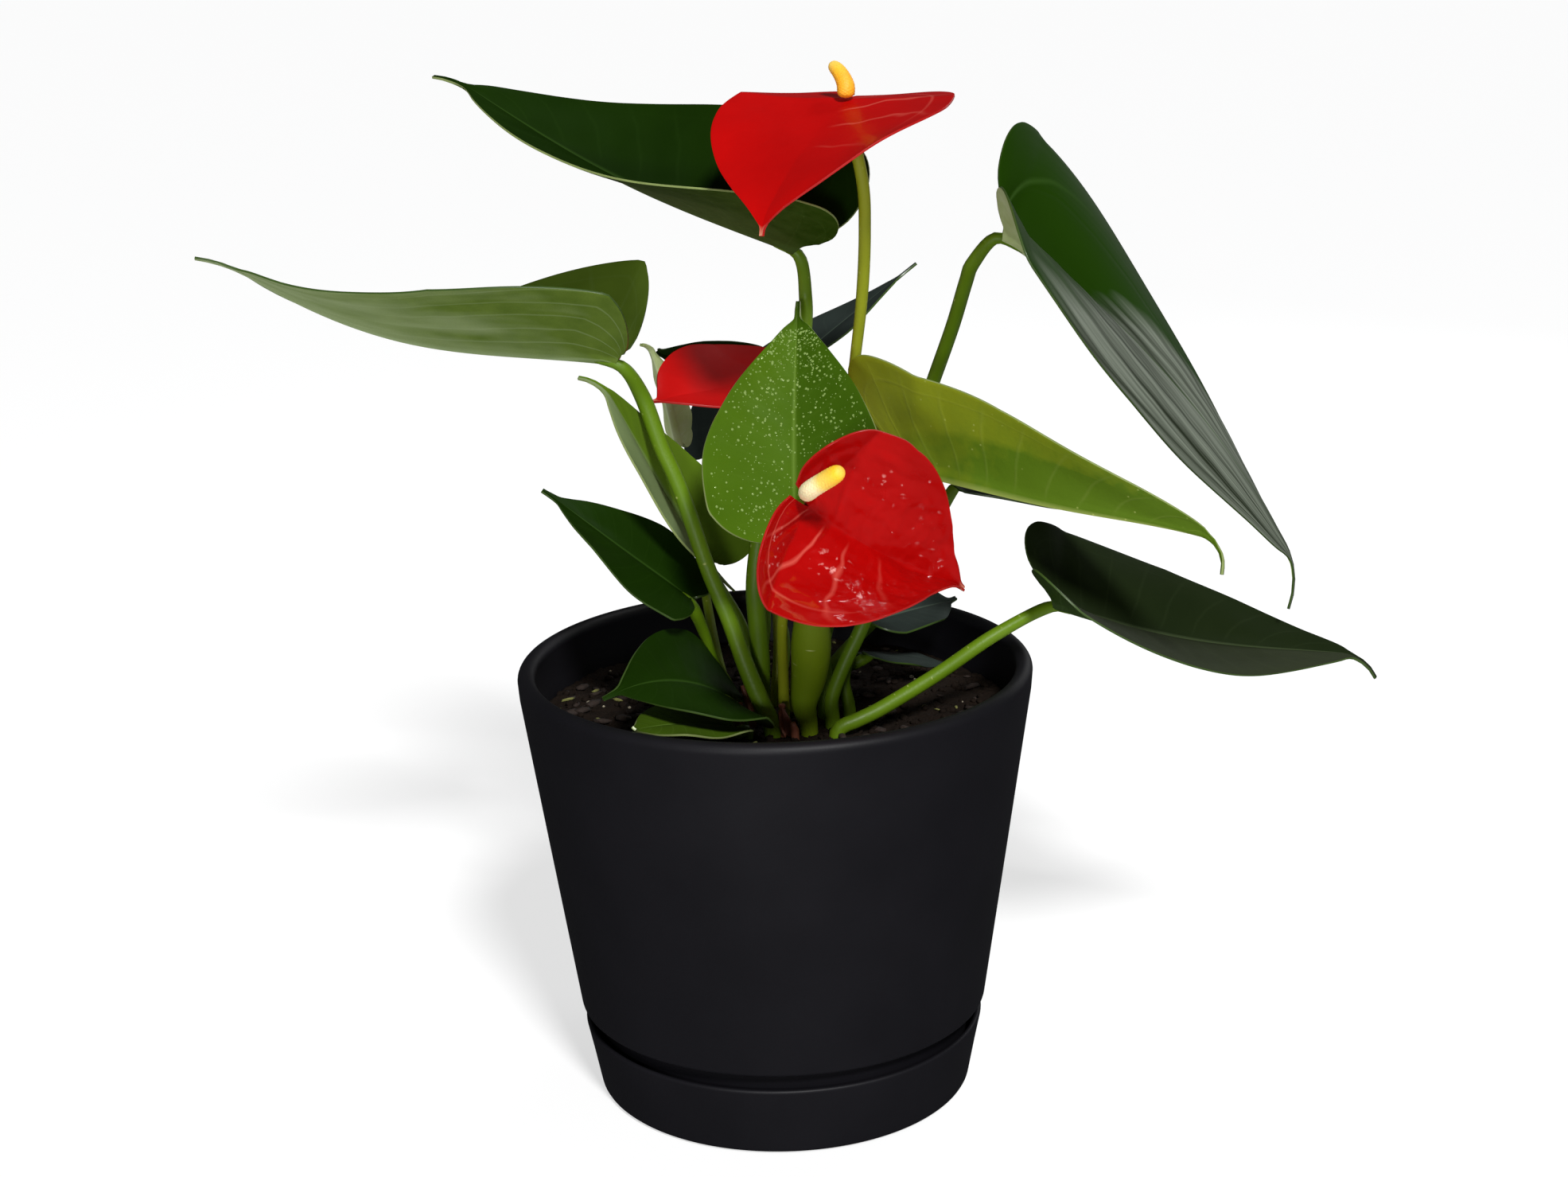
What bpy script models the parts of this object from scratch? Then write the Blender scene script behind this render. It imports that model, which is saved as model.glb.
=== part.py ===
"""Potted anthurium in a black grow pot on its saucer: sixteen leaves on their stalks, three red blooms
and the young shoots at their feet, all standing in peat. Sizes are in millimetres until the last step
(MM turns them into metres), +Z is up and the front of the plant looks toward -Y. The origin is the
centre of the saucer's underside."""

import bmesh
import bpy
import numpy as np
from math import cos, pi, radians, sin
from mathutils import Vector

MM = 0.001

# Pot, saucer and soil
CLEARANCE = 0.3  # between pieces that rest on or in one another
ROUND_STEPS = 44  # sides of the pot, saucer and soil
SOIL_LUMPS = 0.9  # height of the peat's unevenness
SOIL_TOP = 100.6  # clear of the highest lump
HOLE_FLOOR = 86.0  # how deep the stems' holes go
HOLE_SIDES = 10

# (radius, height) round each section, from the axis underneath and back to the axis on top
SAUCER_SECTION = [
    (0, 0), (47.2, 0), (48.3, 0.5), (48.7, 1.6), (51.9, 18.2), (51.3, 18.7), (50.4, 18.3),
    (47.6, 2.9), (46.6, 2.0), (0, 2.0),
]
POT_SECTION = [
    (0, 2.3), (45.4, 2.3), (46.5, 3.1), (49.0, 21.8), (52.3, 22.6), (52.8, 23.6), (64.9, 108.5),
    (65.0, 110.8), (64.2, 112.5), (63.0, 113.0), (61.6, 112.6), (60.6, 110.8), (61.6, 107.6),
    (60.9, 102.0), (50.0, 25.6), (46.9, 22.6), (44.4, 4.1), (0, 4.1),
]
SOIL_SECTION = [
    (0, 4.4), (44.0, 4.4), (46.5, 22.9), (49.6, 25.9), (59.9, 97.6), (58.6, 98.6), (53.0, 99),
    (43.0, 99), (29.0, 99), (14.0, 99), (0, 99),
]

# Blades: thickness, and the grid each one is bent from
BLADE_THICK = 0.7
RIB_THICK = 1.7
LEAF_ACROSS = (0.0, 0.08, 0.36, 0.68, 1.0)  # stations from the midrib to the margin
SMALL_ACROSS = (0.0, 0.12, 0.5, 1.0)
BLOOM_ACROSS = (0.0, 0.10, 0.32, 0.56, 0.80, 1.0)
QUILT = 0.22  # height of the raised side ribs
NET = 0.35  # height of the raised net on a spathe
SPADIX_RADIUS = 2.6
FLORET = 0.12  # height of the florets
STALK_SIDES = 1  # curve bevel resolution: six sides
SLIVER = 0.01  # the smallest edge that a joint between stalk and blade keeps


def clear():
    for old in list(bpy.data.objects):
        bpy.data.objects.remove(old, do_unlink=True)


def collection(name):
    found = bpy.data.collections.new(name)
    bpy.context.scene.collection.children.link(found)
    return found


def material(name, colour, roughness):
    made = bpy.data.materials.new(name)
    made.use_nodes = True
    shader = made.node_tree.nodes["Principled BSDF"]
    shader.inputs["Base Color"].default_value = (*colour, 1)
    shader.inputs["Roughness"].default_value = roughness
    made.diffuse_color = (*colour, 1)
    return made


def add(name, mesh, into, look=None):
    obj = bpy.data.objects.new(name, mesh)
    into.objects.link(obj)
    if look:
        mesh.materials.clear()
        mesh.materials.append(look)
    return obj


def baked(obj):
    """The object's mesh with its modifiers applied and doubled points merged."""
    bpy.context.view_layer.update()
    graph = bpy.context.evaluated_depsgraph_get()
    mesh = bpy.data.meshes.new_from_object(obj.evaluated_get(graph))
    bm = bmesh.new()
    bm.from_mesh(mesh)
    bmesh.ops.remove_doubles(bm, verts=bm.verts, dist=1e-6)
    bmesh.ops.recalc_face_normals(bm, faces=bm.faces)
    bm.to_mesh(mesh)
    bm.free()
    return mesh


def bake(obj):
    mesh = baked(obj)
    obj.modifiers.clear()
    obj.data = mesh


def turned(name, section, steps, into, look):
    """A section turned round the Z axis."""
    bm = bmesh.new()
    points = [bm.verts.new((r * MM, 0, z * MM)) for r, z in section]
    for one, two in zip(points, points[1:]):
        bm.edges.new((one, two))
    mesh = bpy.data.meshes.new(name)
    bm.to_mesh(mesh)
    bm.free()
    obj = add(name, mesh, into, look)
    turn = obj.modifiers.new("turn", "SCREW")
    turn.angle = 2 * pi
    turn.steps = steps
    turn.render_steps = steps
    turn.use_merge_vertices = True
    turn.merge_threshold = 0.00001
    bake(obj)
    obj.data.materials.clear()
    obj.data.materials.append(look)
    return obj


def curve_through(points, each=5):
    """Points of a smooth curve through the given ones; a fourth number is the radius there."""
    rows = np.array(points, float)
    rows = np.vstack([2 * rows[0] - rows[1], rows, 2 * rows[-1] - rows[-2]])
    found = []
    for a, b, c, d in zip(rows, rows[1:], rows[2:], rows[3:]):
        for t in np.arange(each) / each:
            found.append(0.5 * (2 * b + (c - a) * t + (2 * a - 5 * b + 4 * c - d) * t**2
                                + (3 * b - a - 3 * c + d) * t**3))
    found.append(rows[-2])
    found = np.array(found)
    found[:, 3] = np.maximum(found[:, 3], 0.4)
    return found


def tube(name, rows, into, sides=STALK_SIDES):
    """A round stalk along rows of (x, y, z, radius), as a mesh object."""
    data = bpy.data.curves.new(name, "CURVE")
    data.dimensions = "3D"
    data.bevel_depth = MM
    data.bevel_resolution = sides
    data.use_fill_caps = True
    line = data.splines.new("POLY")
    line.points.add(len(rows) - 1)
    for point, (x, y, z, r) in zip(line.points, rows):
        point.co = (x * MM, y * MM, z * MM, 1)
        point.radius = r
    guide = bpy.data.objects.new(name + " line", data)
    into.objects.link(guide)
    mesh = baked(guide)
    bpy.data.objects.remove(guide, do_unlink=True)
    return add(name, mesh, into)


def union(obj, other):
    """Joins other to obj without slivers at the joint, and removes it."""
    join = obj.modifiers.new("join", "BOOLEAN")
    join.operation = "UNION"
    join.solver = "EXACT"
    join.object = other
    bake(obj)
    bm = bmesh.new()
    bm.from_mesh(obj.data)
    bmesh.ops.dissolve_degenerate(bm, dist=SLIVER * MM, edges=bm.edges)
    bmesh.ops.triangulate(bm, faces=bm.faces, ngon_method="BEAUTY")
    bm.to_mesh(obj.data)
    bm.free()
    bpy.data.objects.remove(other, do_unlink=True)


# Outline from the end of a lobe round to the tip. The lobe's points are shares of the half width and of
# the lobe's length, the side's are shares of the half width and of the blade's length, and the drip
# tip's are millimetres from the midrib and shares of the length.
LEAF_OUTLINE = (
    [(0.12, -0.56), (0.24, -0.86), (0.42, -1.0), (0.61, -0.96), (0.78, -0.76), (0.91, -0.42),
     (0.98, -0.05)],
    [(1.0, 0.10), (0.985, 0.20), (0.93, 0.29), (0.82, 0.40), (0.66, 0.53), (0.47, 0.655),
     (0.28, 0.77), (0.14, 0.85)],
    [(0.9, 0.90), (0.6, 0.95), (0.5, 1.0)],
)
BLOOM_OUTLINE = (
    [(0.05, -0.80), (0.22, -1.03), (0.46, -1.0), (0.72, -0.76), (0.91, -0.28)],
    [(1.0, 0.13), (0.985, 0.26), (0.92, 0.38), (0.80, 0.50), (0.64, 0.62), (0.45, 0.73),
     (0.26, 0.83), (0.11, 0.91)],
    [(0.8, 0.96), (0.5, 1.0)],
)
SWELL_AT = (0.0, 0.18, 0.5, 0.82, 1.0)  # where the margin's swells lie on the way round
STATIONS = 32  # along the midrib
HOOK_FROM = 28  # the station where the tip's hook begins


def shape(at, heading, climb, roll, length, half, lobe, bend, sway, twist, fold, lean, curl, lift,
          hook, left=(0, 0, 0), right=(0, 0, 0), outline=LEAF_OUTLINE, wave=0.5):
    """A blade's design: where its notch is, which way its midrib sets off and rises, its roll round
    the midrib, its sizes in mm, and in degrees its droop at the base, middle and tip, its sideways
    bend, its twist, how far the halves fold up at the base and the tip, how unevenly, their curl
    across, the lift of the lobes and the tip's hook down and sideways. The left and right margins
    swell by shares of their width at the lobe, the side and the tip."""
    angles = dict(heading=heading, climb=climb, roll=roll, sway=sway, twist=twist, lean=lean,
                  curl=curl, lift=lift)
    design = {key: radians(value) for key, value in angles.items()}
    design.update(at=np.array(at, float), length=length, half=half, lobe=lobe, outline=outline,
                  wave=wave, left=left, right=right, bend=[radians(b) for b in bend],
                  fold=[radians(f) for f in fold], hook=[radians(h) for h in hook])
    return design


def midrib(d):
    """Points of the midrib with its forward, sideways and upward directions."""
    heading, climb, roll = d["heading"], d["climb"], d["roll"]
    ahead = np.array([cos(climb) * cos(heading), cos(climb) * sin(heading), sin(climb)])
    side = np.cross(ahead, (0, 0, 1))
    side /= np.linalg.norm(side)
    up = np.cross(side, ahead)
    side, up = cos(roll) * side + sin(roll) * up, cos(roll) * up - sin(roll) * side
    spots = [np.array(d["at"])]
    frames = [(ahead, side, up)]
    tail = STATIONS - HOOK_FROM
    for step in range(STATIONS):
        t = (step + 0.5) / STATIONS
        parts = [max(0, 1 - abs(t - centre) / 0.5) for centre in (0, 0.5, 1)]
        droop = sum(b * p for b, p in zip(d["bend"], parts)) / STATIONS
        sway = d["sway"] / STATIONS
        if step >= HOOK_FROM:
            droop += d["hook"][0] / tail
            sway += d["hook"][1] / tail
        twist = d["twist"] / STATIONS
        ahead, up = cos(droop) * ahead - sin(droop) * up, cos(droop) * up + sin(droop) * ahead
        ahead, side = cos(sway) * ahead + sin(sway) * side, cos(sway) * side - sin(sway) * ahead
        side, up = cos(twist) * side + sin(twist) * up, cos(twist) * up - sin(twist) * side
        spots.append(spots[-1] + ahead * d["length"] / STATIONS)
        frames.append((ahead, side, up))
    return np.array(spots), np.array(frames)


def margin(d, share):
    """The margin's distance from the midrib and along it, at a share of the way round from the
    lobe's end to the tip."""
    lobe, side, drip = d["outline"]
    points = [(x * d["half"], y * d["lobe"]) for x, y in lobe]
    points += [(x * d["half"], y * d["length"]) for x, y in side]
    points += [(x, y * d["length"]) for x, y in drip]
    points = np.array(points)
    way = np.r_[0, np.cumsum(np.hypot(*np.diff(points, axis=0).T))]
    way /= way[-1]
    return np.interp(share, way, points[:, 0]), np.interp(share, way, points[:, 1])


def bent(d, u, v, relief=0.0):
    """Where the blade's top face lies at u, from -1 to 1 across it, and v, from notch to tip."""
    spots, frames = midrib(d)
    wide, far = margin(d, v)
    across = np.abs(u)
    sign = np.sign(u)[..., None]
    swell = np.where(u < 0, np.interp(v, SWELL_AT, (0, *d["left"], 0)),
                     np.interp(v, SWELL_AT, (0, *d["right"], 0)))
    x = wide * across * (1 + swell)
    start = d["length"] * v**1.25
    y = start + (far - start) * across ** (1 + 0.35 * (1 - v) ** 2)
    inside = np.clip(y, 0, d["length"])
    stations = np.linspace(0, d["length"], STATIONS + 1)

    def along(values):
        return np.stack([np.interp(inside, stations, values[:, k]) for k in range(3)], -1)

    spot = along(spots)
    ahead, side, up = [along(frames[:, k]) for k in range(3)]
    behind = (y - inside)[..., None]
    spot = spot + behind * (cos(d["lift"]) * ahead - sin(d["lift"]) * up)
    share = inside / d["length"]
    fold = d["fold"][0] + (d["fold"][1] - d["fold"][0]) * share + np.sign(u) * d["lean"]
    slope = fold + d["curl"] * x / (2 * d["half"])
    spot = spot + (x * np.cos(slope))[..., None] * side * sign + (x * np.sin(slope))[..., None] * up
    tilt = (fold + d["curl"] * x / d["half"])[..., None]
    normal = np.cos(tilt) * up - np.sin(tilt) * side * sign
    wave = d["wave"] * across**3 * np.sin(14 * v + 1.3 * sign[..., 0]) * np.minimum(1, 3 * (1 - v))
    spot = spot + BLADE_THICK / 2 * up
    return spot + (relief + wave)[..., None] * normal, normal


def blade(name, d, across, rows, into, look, thick, rib, relief):
    """A closed blade: a grid bent to its design, split into triangles and given its thickness."""
    sides = len(across) - 1
    bm = bmesh.new()
    bmesh.ops.create_grid(bm, x_segments=2 * sides, y_segments=rows, size=1)
    points = list(bm.verts)
    columns = [round((p.co.x + 1) * sides) - sides for p in points]
    lines = [round((p.co.y + 1) / 2 * rows) for p in points]
    u = np.array([across[abs(c)] * (1 if c > 0 else -1) for c in columns])
    v = np.array([line / rows for line in lines])
    spot, _ = bent(d, u, v, relief(d, u, v, np.array(lines)))
    for point, where in zip(points, spot):
        point.co = Vector(where) * MM
    bmesh.ops.triangulate(bm, faces=bm.faces)
    mesh = bpy.data.meshes.new(name)
    bm.to_mesh(mesh)
    bm.free()
    obj = add(name, mesh, into, look)
    group = obj.vertex_groups.new(name="rib")
    for index, (c, along) in enumerate(zip(columns, v)):
        group.add([index], 1 - 0.9 * along if c == 0 else 0.0, "REPLACE")
    skin = obj.modifiers.new("thickness", "SOLIDIFY")
    skin.thickness = rib * MM
    skin.offset = -1
    skin.vertex_group = "rib"
    skin.thickness_vertex_group = thick / rib
    bake(obj)
    return obj


def quilted(d, u, v, line):
    """Raised side ribs: the rows of a leaf's grid lie high and low by turns."""
    fade = np.minimum(1, 4 * np.abs(u)) * (1 - np.abs(u) ** 4) * np.minimum(1, 4 * (1 - v))
    return QUILT * min(1, d["half"] / 24) * np.where(line % 2 == 0, 1, -1) * fade


def netted(d, u, v, line):
    """A spathe's raised net: side veins that run out to a collecting vein near the margin."""
    across = np.abs(u)
    veins = np.where(line % 2 == 0, 1.0, -1.0) * np.clip(3 * across, 0, 1) * (across < 0.75)
    collecting = 1.2 * ((across > 0.75) & (across < 0.9))
    return NET * (0.5 * veins + collecting) * np.minimum(1, 5 * (1 - v)) * np.minimum(1, 8 * v + 0.3)


def stem(name, stalk, ends, look):
    """A round stem that stands upright in its hole and then runs through the stalk's points."""
    x, y, radius = stalk[0]
    rows = curve_through([(x, y, SOIL_TOP, radius), *stalk[1:], *ends], 2)
    rows = np.vstack([[x, y, HOLE_FLOOR + CLEARANCE, radius], rows])
    obj = tube(name, rows, PARTS)
    obj.data.materials.append(look)
    HOLES.append(stalk[0])
    return obj


def leaf(name, look, d, stalk, small=False, tip_radius=1.2):
    """A leaf: its blade and its stalk in one piece."""
    across, rows = (SMALL_ACROSS, 9) if small else (LEAF_ACROSS, 14)
    obj = blade(name, d, across, rows, PARTS, look, BLADE_THICK, RIB_THICK, quilted)
    spots, frames = midrib(d)
    ahead, _, up = frames[0]
    joint = spots[0] - 1.5 * ahead - 1.7 * up
    end = spots[0] + 0.04 * d["length"] * ahead - 0.9 * up
    ends = [(*joint, tip_radius * 1.15), (*end, tip_radius * 0.8)]
    union(obj, stem(name + " stalk", stalk, ends, look))
    obj.data.materials.clear()
    obj.data.materials.append(look)


def spadix(name, points, into, look):
    """The knobbly spike of a bloom: a tube with rounded ends and florets in relief."""
    rows = curve_through([(*point, 1) for point in points], 4)
    share = np.linspace(0, 1, len(rows))
    round_off = np.sqrt(np.clip(1 - np.abs(2 * share - 1) ** 6, 0.1, 1))
    rows[:, 3] = SPADIX_RADIUS * round_off * (1.04 - 0.14 * share)
    obj = tube(name, rows, into, 2)
    bm = bmesh.new()
    bm.from_mesh(obj.data)
    bm.normal_update()
    for point in bm.verts:
        point.co += point.normal * (FLORET if point.index % 2 else -FLORET) * MM
    bm.to_mesh(obj.data)
    bm.free()
    obj.data.materials.append(look)


def bloom(name, d, stalk, spike):
    """A bloom: its stalk, its spathe and its spadix, each a piece of its own."""
    blade(name + "_spathe", d, BLOOM_ACROSS, 12, PARTS, RED, BLADE_THICK, RIB_THICK, netted)
    spots, frames = midrib(d)
    ahead, _, up = frames[0]
    under = spots[0] + 1.5 * ahead - (RIB_THICK + 0.5) * up
    below = under - 4.0 * up
    radius = stalk[-1][3]
    stem(name + "_stalk", stalk, [(*below, radius), (*under, radius)], OLIVE)
    spadix(name + "_spadix", spike, PARTS, YELLOW)


def lumps(x, y):
    """The peat's unevenness, from -1 to 1, at a place in mm."""
    rough = sin(0.31 * x + 1.7 * sin(0.19 * y)) * cos(0.27 * y + 0.8 * sin(0.23 * x))
    return 0.62 * rough + 0.38 * sin(0.83 * x + 0.4) * sin(0.71 * y + 1.1)


def fill_soil():
    """The peat, uneven on top, with a plain hole for each stem."""
    soil = turned("soil", SOIL_SECTION, ROUND_STEPS, PARTS, PEAT)
    for point in soil.data.vertices:
        x, y, z = point.co / MM
        if z > 98.9:
            point.co.z = (z + SOIL_LUMPS * lumps(x, y)) * MM
    for index, (x, y, radius) in enumerate(HOLES):
        bm = bmesh.new()
        wide = (radius + CLEARANCE + 0.05) / cos(pi / HOLE_SIDES) * MM
        bmesh.ops.create_cone(bm, cap_ends=True, segments=HOLE_SIDES, radius1=wide, radius2=wide,
                              depth=(110 - HOLE_FLOOR) * MM)
        mesh = bpy.data.meshes.new("hole")
        bm.to_mesh(mesh)
        bm.free()
        cutter = add(f"hole {index}", mesh, CUTTERS)
        cutter.location = (x * MM, y * MM, (110 + HOLE_FLOOR) / 2 * MM)
        cutter.hide_render = True
        cutter.display_type = "WIRE"
    cut = soil.modifiers.new("holes", "BOOLEAN")
    cut.operation = "DIFFERENCE"
    cut.solver = "EXACT"
    cut.operand_type = "COLLECTION"
    cut.collection = CUTTERS


clear()
PARTS = collection("potted anthurium")
CUTTERS = collection("cutters")
CUTTERS.hide_render = True
HOLES = []

BLACK = material("black plastic", (0.012, 0.011, 0.013), 0.45)
PEAT = material("peat", (0.02, 0.012, 0.008), 0.95)
DARK_LEAF = material("dark leaf", (0.012, 0.045, 0.008), 0.35)
GREEN_LEAF = material("green leaf", (0.10, 0.19, 0.04), 0.4)
FRESH_LEAF = material("fresh leaf", (0.07, 0.17, 0.015), 0.4)
PALE_LEAF = material("pale leaf", (0.17, 0.22, 0.03), 0.4)
RED = material("red spathe", (0.55, 0.005, 0.004), 0.2)
YELLOW = material("yellow spadix", (0.9, 0.5, 0.05), 0.5)
OLIVE = material("olive stalk", (0.12, 0.15, 0.015), 0.4)
BROWN = material("brown sheath", (0.16, 0.035, 0.015), 0.7)

turned("saucer", SAUCER_SECTION, ROUND_STEPS, PARTS, BLACK)
turned("pot", POT_SECTION, ROUND_STEPS, PARTS, BLACK)

leaf(
    "leaf_top_left", DARK_LEAF,
    shape(at=(7.5, 12, 215), heading=158, climb=17.5, roll=21.5, length=109.5, half=29.5, lobe=14,
     bend=(14, -34, 20), sway=8, twist=4, fold=(56, 7), lean=-3, curl=-1, lift=22, hook=(26, 1),
     left=(-0.1, -0.02, -0.04), right=(0.02, 0.04, 0.06)),
    [(-4, -6, 2.2), (-3.5, -8, 113, 2.3), (-4, -8, 123.5, 2.4), (-4.5, -8, 136, 2.2),
     (-2.5, -6, 150, 1.9), (2, -4, 165.5, 1.8), (7.5, 0, 182.5, 1.8), (9.5, 9, 194.5, 1.8),
     (10, 15, 202.5, 1.7), (9, 14, 209.5, 1.8)],
)
leaf(
    "leaf_far_left", GREEN_LEAF,
    shape(at=(-36, -11.5, 193), heading=170, climb=7, roll=2.5, length=108, half=30.5, lobe=4,
     bend=(40, -60, -23), sway=-8, twist=-39, fold=(49, -3), lean=-1, curl=-6, lift=-7, hook=(24, 2),
     left=(-0.1, 0.12, -0.08), right=(-0.04, 0, -0.02)),
    [(-1, -17, 2.2), (-3.5, -17, 107, 2.3), (-7, -16, 116, 2.2), (-11, -14, 128, 2.1),
     (-16, -12, 141, 2.0), (-20.5, -10, 155.5, 2.0), (-23.5, -9, 164, 2.0), (-26.5, -8, 171, 2.0),
     (-30.5, -7, 183, 2.0), (-33.5, -6.5, 189, 2.0)],
)
leaf(
    "leaf_centre", FRESH_LEAF,
    shape(at=(5.5, -32.5, 157), heading=89.5, climb=55, roll=-13, length=62, half=24, lobe=6.5,
     bend=(2, 21, 14), sway=6, twist=11, fold=(26, 16), lean=12, curl=10, lift=3, hook=(8, -1),
     left=(0.02, 0, -0.06), right=(0.04, 0.02, -0.02)),
    [(8, -17, 2.2), (7, -18, 107, 3.2), (8.5, -19, 115.5, 4.5), (9, -21, 124.5, 4.9),
     (9, -24, 133.5, 3.6), (8, -28, 144.5, 2.1), (6.5, -31, 152.5, 1.8)],
)
leaf(
    "leaf_right_pale", PALE_LEAF,
    shape(at=(35.5, -5, 162.5), heading=-28.5, climb=-8, roll=39, length=86, half=27, lobe=23.5,
     bend=(9, -20, 63), sway=0, twist=-6, fold=(47, 29), lean=-2, curl=-17, lift=21, hook=(72, -14),
     left=(-0.02, -0.02, 0.02), right=(0.02, -0.08, -0.04)),
    [(14, -13, 1.8), (14, -13.5, 107, 1.8), (17.5, -13, 116, 1.8), (21.5, -12, 124, 1.8),
     (26, -11, 135, 1.8), (31.5, -9.5, 150, 1.8), (34.5, -9, 159, 1.8)],
)
leaf(
    "leaf_hanging", DARK_LEAF,
    shape(at=(59, 8, 217.5), heading=3.5, climb=-33.5, roll=-23.5, length=124, half=37.5, lobe=13,
     bend=(31, 23, 26), sway=22, twist=2, fold=(43, -24), lean=3, curl=-42, lift=30, hook=(34, 28),
     left=(-0.08, -0.08, -0.02), right=(0.1, 0.02, -0.02)),
    [(12.5, -5, 2.0), (12.5, -2, 108.5, 1.9), (13, 5, 118, 1.8), (19, 14, 129, 1.7),
     (29, 22, 145.5, 1.7), (37, 26, 163.5, 1.7), (42.5, 25, 179, 1.8), (47, 20, 193.5, 1.8),
     (50, 15, 205.5, 1.8), (51.5, 12, 210.5, 1.8), (54.5, 9, 215, 1.8)],
)
leaf(
    "leaf_low_right", DARK_LEAF,
    shape(at=(70.5, -6.5, 127.5), heading=6, climb=-23.5, roll=-9, length=88, half=23, lobe=13,
     bend=(-18, -33, 42), sway=-5, twist=-21, fold=(36, 5), lean=-4, curl=-22, lift=21, hook=(40, 27),
     left=(0, 0.1, -0.06), right=(-0.02, 0, -0.02)),
    [(15, -21, 1.9), (20, -20, 103, 1.9), (26.5, -18, 105.5, 1.9), (40.5, -15, 113, 1.8),
     (54.5, -12, 121.5, 1.7), (65.5, -10, 127.5, 1.7)],
)
leaf(
    "leaf_mid_left", FRESH_LEAF,
    shape(at=(-16, 9, 136), heading=-142, climb=56, roll=58.5, length=68, half=16.5, lobe=4.5,
     bend=(-9, -15, 29), sway=-4, twist=-2, fold=(40, -3), lean=4, curl=2, lift=18, hook=(66, 13),
     left=(-0.16, -0.1, 0.12), right=(-0.12, -0.14, -0.08)),
    [(-3, -0.5, 1.7), (-4.5, 2, 107, 1.6), (-6.5, 4.5, 115, 1.5), (-9.5, 8, 122.5, 1.5),
     (-12, 11.5, 129, 1.5)],
)
leaf(
    "leaf_low_left", DARK_LEAF,
    shape(at=(-20.5, -12.5, 133.5), heading=166.5, climb=35, roll=6, length=45, half=15, lobe=3,
     bend=(4, -7, -1), sway=-1, twist=27, fold=(1, 23), lean=0, curl=-3, lift=10, hook=(2, -3),
     left=(0.04, -0.02, 0), right=(0.04, 0.1, 0.08)),
    [(-11, -2.5, 1.5), (-12, -2.5, 107, 1.4), (-15.5, -2.5, 114, 1.4), (-17.5, -6.5, 122.5, 1.4)],
    small=True,
)
leaf(
    "leaf_in_pot_left", DARK_LEAF,
    shape(at=(-11, -20.3, 109.8), heading=-148.5, climb=36, roll=12.5, length=41.9, half=17.5, lobe=8,
     bend=(32, 24, 16), sway=-39, twist=48, fold=(1, 9), lean=1, curl=22, lift=-9, hook=(29, 0),
     left=(-0.02, 0, -0.1), right=(0, -0.04, 0.1)),
    [(-8.5, -13, 1.4)],
    small=True,
)
leaf(
    "leaf_in_pot_front", FRESH_LEAF,
    shape(at=(-11.5, -24.5, 103.7), heading=-150.5, climb=17.5, roll=-9.5, length=37, half=11, lobe=3,
     bend=(14, 4, -26), sway=-36, twist=29, fold=(6, 6), lean=5, curl=-6, lift=-4, hook=(-27, -12),
     left=(-0.12, -0.02, 0.04), right=(0.02, 0.02, 0.06)),
    [(-7.5, -20, 1.4)],
    small=True,
)
leaf(
    "leaf_back", DARK_LEAF,
    shape(at=(-7, 69, 162.7), heading=34, climb=34, roll=9.5, length=64.8, half=20.1, lobe=18.6,
     bend=(14, -1, -9), sway=13, twist=1, fold=(18, 1), lean=0, curl=-3, lift=-20, hook=(-1, 6),
     left=(0.02, -0.06, 0), right=(0, 0.04, 0)),
    [(1, 11.5, 1.7), (2.5, 20, 112.5, 1.6), (-1, 30, 123, 1.5), (-4, 50, 139.5, 1.5),
     (-7, 64, 153.5, 1.5)],
)
leaf(
    "leaf_narrow", PALE_LEAF,
    shape(at=(-24.5, 40, 160), heading=-103.5, climb=64.5, roll=-1.5, length=33, half=6.5, lobe=5.5,
     bend=(-17, -3, 39), sway=12, twist=23, fold=(61, 27), lean=-3, curl=5, lift=29, hook=(42, 11),
     left=(0.12, -0.08, 0.04), right=(-0.1, 0.02, -0.04)),
    [(-12, 1.5, 1.4), (-15, 12, 111.5, 1.3), (-17, 21, 120.5, 1.2), (-19, 30, 132, 1.1),
     (-21.5, 36, 147.5, 1.1)],
    small=True,
)
leaf(
    "leaf_sliver", DARK_LEAF,
    shape(at=(48.5, 17.5, 152.5), heading=-0.5, climb=-14.5, roll=-11, length=52, half=9.5, lobe=14,
     bend=(-5, -34, -29), sway=14, twist=8, fold=(23, 10), lean=3, curl=-19, lift=33, hook=(8, 5),
     left=(-0.02, -0.02, 0.02), right=(-0.06, 0.02, -0.04)),
    [(18.5, -3, 1.6), (17.5, -2, 108.5, 1.5), (21, 3, 117.5, 1.5), (28, 11, 126.5, 1.4),
     (39, 19, 136.5, 1.4), (44.5, 23, 146, 1.5)],
    small=True,
)
leaf(
    "leaf_pot_back", DARK_LEAF,
    shape(at=(26.5, 15, 118), heading=37.5, climb=1.5, roll=-31, length=33, half=12, lobe=6.5,
     bend=(20, 22, 14), sway=-11, twist=-4, fold=(30, 24), lean=-2, curl=3, lift=18, hook=(-15, -3),
     left=(0, 0, 0), right=(0, 0, 0)),
    [(12.5, 2.5, 1.4), (14.5, 6, 109, 1.3)],
    small=True,
)
leaf(
    "leaf_pot_thin", DARK_LEAF,
    shape(at=(24.5, 13.5, 109.5), heading=21.5, climb=-10.5, roll=13, length=28.5, half=6, lobe=3,
     bend=(0, 29, 11), sway=-16, twist=-41, fold=(9, -12), lean=1, curl=-36, lift=-5, hook=(-15, 13),
     left=(-0.02, 0.06, 0.02), right=(0, 0.02, -0.02)),
    [(8.5, 9, 1.2), (14.5, 12, 104, 1.1)],
    small=True,
)
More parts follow.
